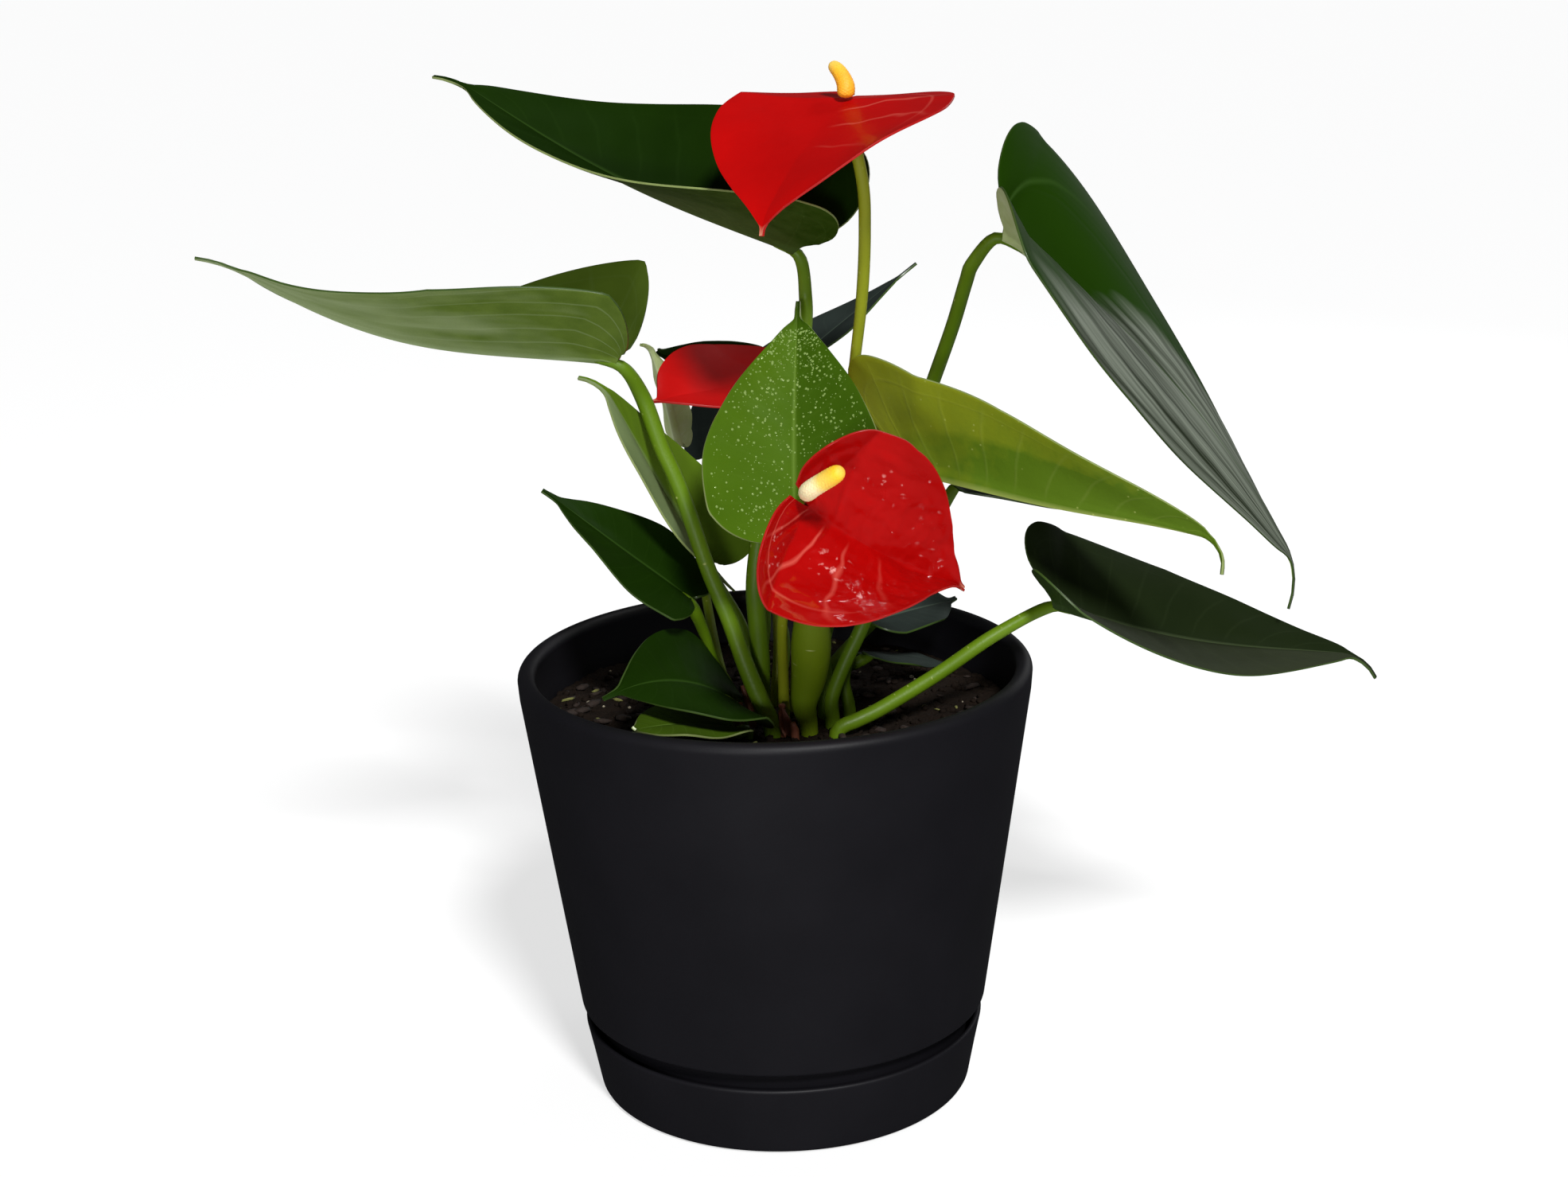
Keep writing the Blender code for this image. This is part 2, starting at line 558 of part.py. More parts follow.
leaf(
    "leaf_behind_bloom", DARK_LEAF,
    shape(at=(-3, 52, 175), heading=153, climb=7.5, roll=59, length=34, half=8.5, lobe=6.5,
     bend=(-5, 14, 46), sway=4, twist=2, fold=(21, 33), lean=3, curl=19, lift=-3, hook=(49, 27),
     left=(-0.12, 0.06, -0.04), right=(-0.02, 0, 0.02)),
    [(-6, 9, 1.5), (-2.5, 17, 113.5, 1.4), (-2, 24, 124.5, 1.4), (-1.5, 33, 143.5, 1.4),
     (-1, 38, 159.5, 1.4)],
    small=True,
)
bloom(
    "bloom_top",
    shape(at=(20, -4, 253), heading=-113, climb=-20, roll=-9, length=51.5, half=29.5, lobe=12,
     bend=(0, 26, 32), sway=15, twist=-18, fold=(-1, 6), lean=9, curl=8, lift=-21, hook=(23, 5),
     left=(-0.02, -0.02, 0.02), right=(-0.1, -0.02, 0.06), outline=BLOOM_OUTLINE),
    [(5, -3.5, 1.5), (6, -2, 119.5, 1.4), (8, 2, 135, 1.35), (14.5, 9, 155.5, 1.3),
     (20, 12.5, 175, 1.3), (22.5, 11, 191.5, 1.4), (24, 7, 206.5, 1.5), (24.5, 2, 221, 1.5),
     (24, -2, 233, 1.5)],
    [(20.1, -6.1, 253.45), (20.2, -5.6, 256.4), (18.9, -3.5, 259.2), (17, -0.5, 261)],
)
bloom(
    "bloom_centre",
    shape(at=(8.5, -49.2, 165.5), heading=25.5, climb=-42.5, roll=-89.5, length=46, half=28.5, lobe=11,
     bend=(-16, -22, 6), sway=-19, twist=30, fold=(10, 54), lean=4, curl=26, lift=27, hook=(23, 4),
     left=(-0.18, -0.08, 0.18), right=(0.06, 0.04, -0.06), outline=BLOOM_OUTLINE),
    [(2, -10, 1.4), (2, -13, 112.5, 1.35), (2, -22, 128, 1.3), (3, -32, 141, 1.3),
     (5, -43, 153.5, 1.3)],
    [(7.8, -54.3, 169.4), (9.2, -58.3, 171.8), (12.3, -61.5, 174.5), (16.1, -65.2, 177.7)],
)
bloom(
    "bloom_back",
    shape(at=(0, 28, 179), heading=-134.5, climb=2.5, roll=15, length=41, half=21.5, lobe=15.5,
     bend=(5, -4, 10), sway=-2, twist=-2, fold=(3, 6), lean=-1, curl=2, lift=6, hook=(-4, 5),
     left=(-0.04, 0.06, 0.08), right=(0, 0.02, 0.04), outline=BLOOM_OUTLINE),
    [(0, 5, 1.4), (1, 7, 114.5, 1.3), (0.5, 14, 129.5, 1.2), (-0.5, 23, 146, 1.2), (0, 29, 161.5, 1.2)],
    [(-0.8, 27.4, 180.1), (0.2, 25.6, 183.7), (3, 22.5, 186.5), (6, 20, 187.5)],
)
stem("sheath_left", [(-6, -10.5, 0.9), (-6.9, -10.4, 105, 0.9)], [(-8.5, -10.3, 110, 0.5)], BROWN)
stem("sheath_front", [(4.5, -20.5, 1.0)], [(4.0, -21.0, 103.5, 0.6)], BROWN)
fill_soil()
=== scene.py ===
"""Looks of the potted anthurium: fine leaves, spathes, spadices and stalks that stand for the plain solids,
the black plastic of the pot and saucer, peat with its bark, and a plain studio. The designs of the blades
and stalks are in millimetres, MM turns them into metres, +Z is up and the front looks toward -Y."""

from math import cos, pi, radians, sin

import bmesh
import bpy
import numpy as np
from mathutils import Matrix, Vector, noise


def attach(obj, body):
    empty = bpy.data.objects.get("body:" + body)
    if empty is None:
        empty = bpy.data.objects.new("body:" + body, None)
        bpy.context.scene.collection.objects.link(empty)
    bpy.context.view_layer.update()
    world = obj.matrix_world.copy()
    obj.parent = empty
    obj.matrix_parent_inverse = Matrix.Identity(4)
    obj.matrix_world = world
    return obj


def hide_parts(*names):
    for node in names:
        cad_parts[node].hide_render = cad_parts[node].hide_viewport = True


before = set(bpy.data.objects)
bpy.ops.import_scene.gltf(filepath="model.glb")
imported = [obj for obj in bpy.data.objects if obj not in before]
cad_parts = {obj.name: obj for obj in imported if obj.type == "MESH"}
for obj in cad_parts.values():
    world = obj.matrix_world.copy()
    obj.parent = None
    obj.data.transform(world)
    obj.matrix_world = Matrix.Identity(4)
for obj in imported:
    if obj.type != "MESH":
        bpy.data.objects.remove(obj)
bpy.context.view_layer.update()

MM = 0.001

# The photograph's camera: its place in metres, its turns in degrees and its focal length in pixels
PHOTO_WIDTH = 1971
FOCAL_LENGTH = 3300
CAMERA_PLACE = (0, -0.633, 0.317)
CAMERA_TILT = 16.33
CAMERA_PAN = 0.25
CAMERA_ROLL = -1.42

# Blades
BLADE_THICK = 0.7  # of the solids, whose top faces these follow
SKIN = 0.5  # of the fine blades
RIB = 1.5  # at the midrib's foot
SOFT_MARGIN = 0.14
LEAF_GRID = (22, 84)  # cells from the midrib to the margin, and along the blade
SPATHE_GRID = (44, 130)
SCALE_GRID = (6, 18)
LEAF_VEINS = 11  # side veins a half, and how far they lean toward the tip
LEAF_SKEW = 0.16
SPATHE_VEINS = 6
SPATHE_SKEW = 0.1
GATHER_AT = 0.84  # where the vein that gathers them runs, as a share of the half width

# Stalks and spadices
STALK_SIDES = 16
STALK_STEP = 1.6  # between its rings
FOOT_HEIGHTS = (92, 100.6)  # in the soil
JOINT_SWELL = 0.12
JOINT_REACH = 8  # a stalk's points nearer to its blade than this give way to the joint
TIP_RADIUS = 1.2
SPADIX_SIDES = 54
SPADIX_RINGS = 64
FLORETS = (9, 17)  # round and along the spadix

# Pot and peat
POT_STEPS = 160
PEAT_CELLS = 150
PEAT_RADIUS = 60.0
PEAT_HEIGHT = 98.7
PEAT_SIDE = ((0.985, 96.0), (0.83, 26.0), (0.775, 22.9), (0.74, 4.4))  # shares of the radius, heights
STREWN_RADIUS = 58.0

# Studio, in metres
FLOOR_SIZE = 6.0
FLOOR_DROP = 0.0003
FLOOR_COLOUR = (0.42, 0.42, 0.42)
FLOOR_GLOW = 0.62
ROOM_COLOUR = (0.95, 0.98, 1.0, 1)
ROOM_LIGHT = 0.12
ROOM_IN_GLOSS = 0.04
BACKDROP_COLOUR = (1, 1, 1, 1)
BACKDROP_LIGHT = 1.02
LAMPS_AIM = (0, 0, 0.13)
LAMPS = (  # name, kind, place, strength, and how wide it is
    ("key", "SUN", (0.19, -0.72, 0.8), 3.4, {"angle": radians(9)}),
    ("window", "AREA", (0.55, 0.66, 0.5), 1.0, {"size": 0.6}),
    ("front_glint", "AREA", (-0.15, -0.9, 0.25), 2.5, {"size": 0.12}),
    ("high_glint", "AREA", (0.365, 0.307, 0.91), 1.0, {"size": 0.1}),
)


def sign(operation):
    """A method of Value that adds a Math node, so that shader maths reads as sums."""
    def method(self, *others):
        return self.look.node("Math", {"operation": operation}, dict(enumerate((self, *others))))
    return method


class Value:
    """A number or colour on its way through a material."""

    __add__ = __radd__ = sign("ADD")
    __sub__ = sign("SUBTRACT")
    __mul__ = __rmul__ = sign("MULTIPLY")
    __truediv__ = sign("DIVIDE")
    __pow__ = sign("POWER")
    __abs__ = sign("ABSOLUTE")
    at_most = sign("MINIMUM")
    at_least = sign("MAXIMUM")
    wrapped = sign("FRACT")

    def __init__(self, look, socket):
        self.look = look
        self.socket = socket

    def __rsub__(self, other):
        return self.look.node("Math", {"operation": "SUBTRACT"}, {0: other, 1: self})

    def clamped(self):
        return self.at_least(0).at_most(1)

    def line(self, width):
        """1 where this is 0, falling to 0 at the width on either side."""
        return 1 - (abs(self) / width).at_most(1)


class Look:
    """A material in the making: its shader, and one method that adds any other node."""

    def __init__(self, name, roughness=0.5, **constants):
        self.material = bpy.data.materials.new(name)
        self.material.use_nodes = True
        self.tree = self.material.node_tree
        self.shader = self.tree.nodes["Principled BSDF"]
        self.shader.inputs["Roughness"].default_value = roughness
        for socket, value in constants.items():
            self.shader.inputs[socket.replace("_", " ")].default_value = value

    def node(self, kind, settings=None, sockets=None, output=0):
        made = self.tree.nodes.new("ShaderNode" + kind)
        for key, value in (settings or {}).items():
            if key == "stops":
                for index, (position, colour) in enumerate(value):
                    stops = made.color_ramp.elements
                    stop = stops[index] if index < 2 else stops.new(position)
                    stop.position = position
                    stop.color = (*colour, 1)
            else:
                setattr(made, key, value)
        for key, value in (sockets or {}).items():
            self.feed(made.inputs[key], value)
        return Value(self, made.outputs[output])

    def feed(self, socket, value):
        if isinstance(value, Value):
            self.tree.links.new(value.socket, socket)
        elif hasattr(socket.default_value, "__len__") and len(value) < len(socket.default_value):
            socket.default_value = (*value, 1)
        else:
            socket.default_value = value

    def set(self, socket, value):
        self.feed(self.shader.inputs[socket], value)

    def place(self):
        return self.node("TexCoord", output="Object")

    def chart(self):
        return self.node("UVMap", {"uv_map": "shares"})

    def on_blade(self):
        """Two numbers: how far across the blade from -1 to 1, and how far along it from 0 to 1."""
        across = self.node("SeparateXYZ", sockets={0: self.chart()}, output="X")
        along = self.node("SeparateXYZ", sockets={0: self.chart()}, output="Y")
        return across * 2 - 1, along

    def stretched(self, scale):
        """The chart, stretched for marks that are long one way."""
        return self.node("Mapping", sockets={"Vector": self.chart(), "Scale": scale})

    def noise(self, where, scale, detail):
        return self.node("TexNoise", {}, {"Vector": where, "Scale": scale, "Detail": detail})

    def cloud(self, size, detail=3):
        """Noise from 0 to 1 with blotches of a size in mm."""
        return self.noise(self.place(), 1000 / size, detail)

    def cells(self, size, feature="DISTANCE_TO_EDGE"):
        """Distance from the borders of cells of a size in mm."""
        sockets = {"Vector": self.place(), "Scale": 1000 / size}
        return self.node("TexVoronoi", {"feature": feature}, sockets)

    def mix(self, share, one, two):
        sockets = {0: share, 6: one, 7: two}
        return self.node("Mix", {"data_type": "RGBA"}, sockets, output=2)

    def bump(self, height, depth):
        """Relief of a depth in mm."""
        self.set("Normal", self.node("Bump", {}, {"Height": height, "Distance": depth * MM}))


# Finishes, with the colours that they share

DRY_TIP = (0.55, 0.22, 0.14)
# The pale pink of the painted highlights on a spathe
GLINT_PAINT = (0.9, 0.48, 0.44)
FLORET_DOT = (0.62, 0.33, 0.04)
GLINT_CHART = (24, 48)  # a spathe's half width and length in mm, to place its painted highlights


def plastic(name):
    """Black pot plastic: satin, with a faint grain and a few dull patches."""
    look = Look(name, Specular_IOR_Level=0.2)
    dull = look.cloud(24)
    look.set("Base Color", look.mix(dull, (0.004, 0.0038, 0.0052), (0.0062, 0.0058, 0.008)))
    look.set("Roughness", 0.46 + 0.12 * dull)
    look.bump(look.cloud(0.5, 2), 0.02)
    return look.material


def vein_lines(look, count, skew, waver=0.0):
    """Side veins, the vein that gathers them near the margin, and the midrib, as masks from 0 to 1."""
    across, along = look.on_blade()
    way = abs(across)
    wander = look.cloud(9, 1) * waver
    spaced = ((along - way * skew) * count + wander).wrapped() - 0.5
    side = spaced.line(0.07) * (way * 6).at_most(1) * (1 - way ** 6)
    gather = (way - GATHER_AT + wander * 0.03).line(0.018) * (1 - along)
    rib = way.line(0.035)
    return side, gather, rib


def leaf_top(name, deep, lit, vein, show=0.1, right=None, roughness=0.5, specular=0.03):
    """The upper face of a leaf, dark between its veins. Its right half may have a colour of its own, which
    some looks below use for painted sheen, painted shade and painted light on that half.
    """
    look = Look(name, Specular_IOR_Level=specular)
    side, gather, rib = vein_lines(look, LEAF_VEINS, LEAF_SKEW, 0.25)
    base = look.mix(look.cloud(16), deep, lit)
    if right:
        across, _ = look.on_blade()
        base = look.mix((across * 8 + 0.3).clamped(), base, right)
    lines = (show * side + 0.7 * show * gather + 0.6 * rib).at_most(1)
    look.set("Base Color", look.mix(lines, base, vein))
    look.set("Roughness", roughness + 0.14 * look.cloud(5) - 0.05)
    look.bump(0.12 * look.cloud(1.1, 2) - 1.5 * show * (side + gather) - 0.6 * rib, 0.12)
    return look.material


def streaked_top(name, green, dark, pale, vein):
    """The hanging leaf's upper face: deep green near its base, and past a slanting border a painted
    sheen, streaky grey from dark to pale, between long dark veins."""
    look = Look(name, Specular_IOR_Level=0.03)
    across, along = look.on_blade()
    way = abs(across)
    streak = look.noise(look.stretched((46, 2.5, 1)), 1, 3)
    bands = look.noise(look.stretched((9, 1.3, 1)), 1, 1)
    # Painted sheen: streaky grey that stands for light glancing off the leaf
    painted_sheen = (2.4 * streak + 2.6 * bands - 1.95).clamped()
    veins = ((way * 2.2 + along * 0.7 + 0.2 * bands).wrapped() - 0.5).line(0.08)
    # grey: the colour of the painted sheen, darker along the veins
    grey = look.mix((1 - 0.85 * veins) * painted_sheen, dark, pale)
    # share: where the painted sheen takes over from the green near the base
    share = (9 * (along - 0.30 - 0.5 * (0 - across).at_least(0)) + 1.6 * bands - 0.3).clamped()
    arc = (way - 0.5 - 0.8 * along).line(0.03) * (1 - 3 * along).clamped()
    base = look.mix(share, look.mix(0.5 * arc, green, vein), grey)
    look.set("Base Color", look.mix(0.4 * way.line(0.02), base, vein))
    look.set("Roughness", 0.45 + 0.12 * streak)
    look.bump(0.3 * streak - 0.5 * veins, 0.12)
    return look.material


def leaf_under(name, deep, lit, vein, far=None, show=0.2, specular=0.15):
    """The duller, mottled under face of a leaf, with pale specks. Its colour may change toward the
    tip and beside the fold; on the yellow underside the darker green that it changes to is painted shade."""
    look = Look(name, Specular_IOR_Level=specular)
    side, gather, rib = vein_lines(look, LEAF_VEINS, LEAF_SKEW, 0.25)
    across, along = look.on_blade()
    mottle = look.cloud(3.5, 4)
    base = look.mix((0.6 * look.cloud(14) + 1.1 * mottle - 0.35).clamped(), deep, lit)
    if far:
        fold = ((0.42 + 0.35 * along - abs(across)) * 12).clamped()
        share = along * 1.3 + 0.05 - 0.5 * abs(across) + 0.6 * mottle + 0.28 * fold
        base = look.mix(share.clamped(), base, far)
    specks = look.cells(3.6, "F1").line(0.1)
    lines = (show * side + show * gather + 0.4 * rib + 0.5 * specks).at_most(1)
    look.set("Base Color", look.mix(lines, base, vein))
    look.set("Roughness", 0.5 + 0.12 * look.cloud(6))
    look.bump(0.5 * look.cloud(1.4, 3) + 0.3 * side + 0.3 * gather + 0.6 * rib, 0.14)
    return look.material


def long_veined(name, deep, lit, far, vein):
    """An under face whose fine veins run nearly lengthwise, with grey bands that widen to the tip."""
    look = Look(name, Specular_IOR_Level=0.15)
    across, along = look.on_blade()
    way = abs(across)
    broad = look.stretched((7, 3.5, 1))
    bands = look.noise(broad, 1, 2)
    lines = ((way * 5 + along * 1.5 + 0.3 * bands).wrapped() - 0.5).line(0.08) * (1 - along)
    base = look.mix(look.cloud(5, 4), deep, lit)
    share = along * 1.3 - 0.5 + 1.5 * (bands - 0.45) + 0.25 * (1 - way)
    base = look.mix(share.clamped(), base, far)
    grain = (3 * look.noise(broad, 1000 / 9, 4) - 1.3).clamped()
    base = look.mix(0.5 * grain, base, [0.6 * c for c in deep])
    look.set("Base Color", look.mix(0.25 * lines + 0.4 * way.line(0.04), base, vein))
    look.set("Roughness", 0.5 + 0.12 * look.cloud(6))
    look.bump(0.2 * look.cloud(1.0, 2) + 0.25 * lines, 0.12)
    return look.material


def leaf_edge(name, colour):
    """The thin margin of a leaf or spathe."""
    look = Look(name)
    look.set("Base Color", look.mix(look.cloud(7), colour, [0.6 * c for c in colour]))
    look.set("Roughness", 0.3 + 0.1 * look.cloud(3))
    return look.material


def spathe_face(name, deep, lit, vein, roughness, coat, veined=0, painted_glints=()):
    """A spathe's face. One side, 1 or -1, shows paler veins on its lobe, partly a painted highlight, and it
    has painted highlights: pale flecks in spots that are given by their places on the chart and radii in
    mm."""
    look = Look(name, Coat_Weight=coat, Coat_Roughness=0.06, Specular_IOR_Level=0.1)
    side, gather, _ = vein_lines(look, SPATHE_VEINS, SPATHE_SKEW, 0.5)
    across, along = look.on_blade()
    lobes = (1.8 - 2.6 * along).clamped() * (veined * across * 5 - 0.2).clamped()
    base = look.mix(look.cloud(15), deep, lit)
    base = look.mix((along * 30 - 29).clamped(), base, DRY_TIP)
    base = look.mix(lobes * (0.6 * side + 0.6 * gather), base, vein)
    # Painted highlights: pale pink flecks inside each given spot
    if painted_glints:
        flecks = (look.cloud(1.8, 2) * 9 - 5.5).clamped()
        glow = 0.0
        for place_u, place_v, radius in painted_glints:
            off_u = (across - place_u) * GLINT_CHART[0]
            off_v = (along - place_v) * GLINT_CHART[1]
            near = 1 - (off_u * off_u + off_v * off_v) * radius**-2
            glow = near.clamped() * flecks + glow
        base = look.mix(0.6 * glow.clamped(), base, GLINT_PAINT)
    look.set("Base Color", base)
    look.set("Roughness", roughness + 0.10 * look.cloud(4))
    look.bump(look.cloud(3.0, 1), 0.05)
    return look.material


def spike(name, foot, middle, tip, spot):
    """A spadix: pale at the foot, warmer toward the tip, with a darker dot in each floret."""
    look = Look(name, Subsurface_Weight=0.15, Subsurface_Scale=0.002)
    _, along = look.on_blade()
    stops = [(0.0, foot), (0.45, foot), (0.62, middle), (0.93, tip), (1.0, spot)]
    colour = look.node("ValToRGB", {"stops": stops}, {0: along})
    dots = look.cells(0.62, "F1").line(0.35)
    look.set("Base Color", look.mix(0.25 * dots, colour, FLORET_DOT))
    look.set("Roughness", 0.5 + 0.15 * look.cloud(2))
    look.bump(look.cells(0.62).at_most(0.3), 0.1)
    return look.material


def stalk_skin(name, deep, lit, fleck):
    """A stalk: green with short pale flecks that run along it."""
    look = Look(name, Specular_IOR_Level=0.25)
    flecks = look.node("TexVoronoi", {}, {"Vector": look.stretched((3, 42, 1)), "Scale": 1})
    mark = flecks.line(0.15) * (look.cloud(3, 1) * 4 - 1.5).clamped()
    base = look.mix(look.cloud(18), deep, lit)
    look.set("Base Color", look.mix(0.8 * mark, base, fleck))
    look.set("Roughness", 0.38 + 0.15 * look.cloud(4))
    look.bump(look.cloud(0.8, 2) + 1.2 * mark, 0.06)
    return look.material


def peat_crumb(name):
    """Damp peat: near black with brown crumbs and fibres."""
    look = Look(name, Specular_IOR_Level=0.12)
    crumbs = look.cells(2.6, "F1")
    colour = look.mix(look.cloud(5, 6), (0.003, 0.0019, 0.0013), (0.016, 0.009, 0.005))
    look.set("Base Color", look.mix(look.cloud(1.2, 4) * 0.5, colour, (0.01, 0.006, 0.004)))
    look.set("Roughness", 0.75 + 0.2 * look.cloud(3))
    look.bump(look.cloud(0.9, 5) + crumbs, 0.5)
    return look.material


def grained(name, deep, lit, size, roughness, depth):
    """A rough natural crumb: bark, perlite or moss."""
    look = Look(name)
    look.set("Base Color", look.mix(look.cloud(size, 5), deep, lit))
    look.set("Roughness", roughness + 0.1 * look.cloud(size))
    look.bump(look.cloud(size / 2, 4), depth)
    return look.material


def water(name):
    """Small water drops: bright, and half clear. Their pale green is painted light: the lit leaf seen
    through them.
    """
    look = Look(name, 0.06, IOR=1.33, Alpha=0.55, Specular_IOR_Level=0.6)
    look.set("Base Color", look.mix(look.cloud(2), (0.24, 0.38, 0.08), (0.4, 0.55, 0.18)))
    return look.material


# Blades: the same designs as the solids, on a finer grid

# Outline from the end of a lobe round to the tip. The lobe's points are shares of the half width and of
# the lobe's length, the side's are shares of the half width and of the blade's length, and the drip
# tip's are millimetres from the midrib and shares of the length.
LEAF_OUTLINE = (
    [(0.12, -0.56), (0.24, -0.86), (0.42, -1.0), (0.61, -0.96), (0.78, -0.76), (0.91, -0.42),
     (0.98, -0.05)],
    [(1.0, 0.1), (0.985, 0.2), (0.93, 0.29), (0.82, 0.4), (0.66, 0.53), (0.47, 0.655),
     (0.28, 0.77), (0.14, 0.85)],
    [(0.9, 0.9), (0.6, 0.95), (0.5, 1.0)],
)
BLOOM_OUTLINE = (
    [(0.05, -0.8), (0.22, -1.03), (0.46, -1.0), (0.72, -0.76), (0.91, -0.28)],
    [(1.0, 0.13), (0.985, 0.26), (0.92, 0.38), (0.8, 0.5), (0.64, 0.62), (0.45, 0.73),
     (0.26, 0.83), (0.11, 0.91)],
    [(0.8, 0.96), (0.5, 1.0)],
)
SWELL_AT = (0.0, 0.18, 0.5, 0.82, 1.0)  # where the margin's swells lie on the way round
STATIONS = 32  # along the midrib
HOOK_FROM = 28  # the station where the tip's hook begins


def shape(at, aim, size, bend, sway, twist, fold, lean, curl, lift, hook, left=(0, 0, 0),
          right=(0, 0, 0), outline=LEAF_OUTLINE, wave=0.5):
    """A blade's design: where its notch is, which way its midrib sets off, rises and rolls, its length,
    half width and lobe in mm, and in degrees its droop at the base, middle and tip, its sideways bend,
    its twist, how far the halves fold up at the base and the tip, how unevenly, their curl across, the
    lift of the lobes and the tip's hook down and sideways. The left and right margins swell by shares
    of their width at the lobe, the side and the tip."""
    design = dict(aim=aim, bend=bend, sway=sway, twist=twist, fold=fold, lean=lean, curl=curl,
                  lift=lift, hook=hook)
    design = {key: np.radians(value) for key, value in design.items()}
    length, half, lobe = size
    design.update(at=np.array(at, float), length=length, half=half, lobe=lobe, outline=outline,
                  wave=wave, left=left, right=right)
    return design


def midrib(d):
    """Points of the midrib with its forward, sideways and upward directions."""
    heading, climb, roll = d["aim"]
    ahead = np.array([cos(climb) * cos(heading), cos(climb) * sin(heading), sin(climb)])
    side = np.cross(ahead, (0, 0, 1))
    side /= np.linalg.norm(side)
    up = np.cross(side, ahead)
    side, up = cos(roll) * side + sin(roll) * up, cos(roll) * up - sin(roll) * side
    spots = [np.array(d["at"])]
    frames = [(ahead, side, up)]
    tail = STATIONS - HOOK_FROM
    for step in range(STATIONS):
        t = (step + 0.5) / STATIONS
        parts = [max(0, 1 - abs(t - centre) / 0.5) for centre in (0, 0.5, 1)]
        droop = sum(b * p for b, p in zip(d["bend"], parts)) / STATIONS
        sway = d["sway"] / STATIONS
        if step >= HOOK_FROM:
            droop += d["hook"][0] / tail
            sway += d["hook"][1] / tail
        twist = d["twist"] / STATIONS
        ahead, up = cos(droop) * ahead - sin(droop) * up, cos(droop) * up + sin(droop) * ahead
        ahead, side = cos(sway) * ahead + sin(sway) * side, cos(sway) * side - sin(sway) * ahead
        side, up = cos(twist) * side + sin(twist) * up, cos(twist) * up - sin(twist) * side
        spots.append(spots[-1] + ahead * d["length"] / STATIONS)
        frames.append((ahead, side, up))
    return np.array(spots), np.array(frames)


def smooth_line(points, count):
    """Points evenly spaced on a smooth curve through the given ones."""
    rows = np.array(points, float)
    rows = np.vstack([2 * rows[0] - rows[1], rows, 2 * rows[-1] - rows[-2]])
    found = []
    for a, b, c, d in zip(rows, rows[1:], rows[2:], rows[3:]):
        for t in np.arange(12) / 12:
            found.append(0.5 * (2 * b + (c - a) * t + (2 * a - 5 * b + 4 * c - d) * t**2
                                + (3 * b - a - 3 * c + d) * t**3))
    found.append(rows[-2])
    found = np.array(found)
    place = found[:, :2] if found.shape[1] == 2 else found[:, :3]
    way = np.r_[0, np.cumsum(np.linalg.norm(np.diff(place, axis=0), axis=1))]
    wanted = np.linspace(0, way[-1], count)
    return np.stack([np.interp(wanted, way, found[:, k]) for k in range(found.shape[1])], -1), way[-1]


def margin(d, share):
    """The margin's distance from the midrib and along it, at a share of the way round from the
    lobe's end to the tip."""
    lobe, side, drip = d["outline"]
    points = [(x * d["half"], y * d["lobe"]) for x, y in lobe]
    points += [(x * d["half"], y * d["length"]) for x, y in side]
    points += [(x, y * d["length"]) for x, y in drip]
    line, _ = smooth_line(points, 400)
    way = np.linspace(0, 1, 400)
    return np.interp(share, way, line[:, 0]), np.interp(share, way, line[:, 1])


def bent(d, u, v, relief=0.0):
    """Where the blade's top face lies at u, from -1 to 1 across it, and v, from notch to tip."""
    spots, frames = midrib(d)
    wide, far = margin(d, v)
    across = np.abs(u)
    sign = np.sign(u)[..., None]
    swell = np.where(u < 0, np.interp(v, SWELL_AT, (0, *d["left"], 0)),
                     np.interp(v, SWELL_AT, (0, *d["right"], 0)))
    x = wide * across * (1 + swell)
    start = d["length"] * v**1.25
    y = start + (far - start) * across ** (1 + 0.35 * (1 - v) ** 2)
    inside = np.clip(y, 0, d["length"])
    stations = np.linspace(0, d["length"], STATIONS + 1)

    def along(values):
        return np.stack([np.interp(inside, stations, values[:, k]) for k in range(3)], -1)

    spot = along(spots)
    ahead, side, up = [along(frames[:, k]) for k in range(3)]
    behind = (y - inside)[..., None]
    spot = spot + behind * (cos(d["lift"]) * ahead - sin(d["lift"]) * up)
    share = inside / d["length"]
    fold = d["fold"][0] + (d["fold"][1] - d["fold"][0]) * share + np.sign(u) * d["lean"]
    slope = fold + d["curl"] * x / (2 * d["half"])
    spot = spot + (x * np.cos(slope))[..., None] * side * sign + (x * np.sin(slope))[..., None] * up
    tilt = (fold + d["curl"] * x / d["half"])[..., None]
    normal = np.cos(tilt) * up - np.sin(tilt) * side * sign
    wave = d["wave"] * across**3 * np.sin(14 * v + 1.3 * sign[..., 0]) * np.minimum(1, 3 * (1 - v))
    spot = spot + BLADE_THICK / 2 * up
    return spot + (relief + wave)[..., None] * normal, normal


# Making pieces

def piece(name, bm, looks, node):
    """An object from a bmesh, riding on the plant and standing for a node of the solids."""
    mesh = bpy.data.meshes.new(name)
    bm.to_mesh(mesh)
    bm.free()
    mesh.shade_smooth()
    for look in looks:
        mesh.materials.append(look)
    made = bpy.data.objects.new(name, mesh)
    bpy.context.scene.collection.objects.link(made)
    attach(made, "root")
    if node:
        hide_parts(node)
    return made


def grid(across, along):
    """A grid with a chart of its shares, and how far across and along it each point lies."""
    bm = bmesh.new()
    bmesh.ops.create_grid(bm, x_segments=across, y_segments=along, size=0.5)
    chart = bm.loops.layers.uv.new("shares")
    for face in bm.faces:
        for loop in face.loops:
            loop[chart].uv = (loop.vert.co.x + 0.5, loop.vert.co.y + 0.5)
    u = np.array([point.co.x + 0.5 for point in bm.verts])
    v = np.array([point.co.y + 0.5 for point in bm.verts])
    return bm, u, v


def put(bm, spots):
    for point, spot in zip(bm.verts, spots):
        point.co = Vector(spot) * MM


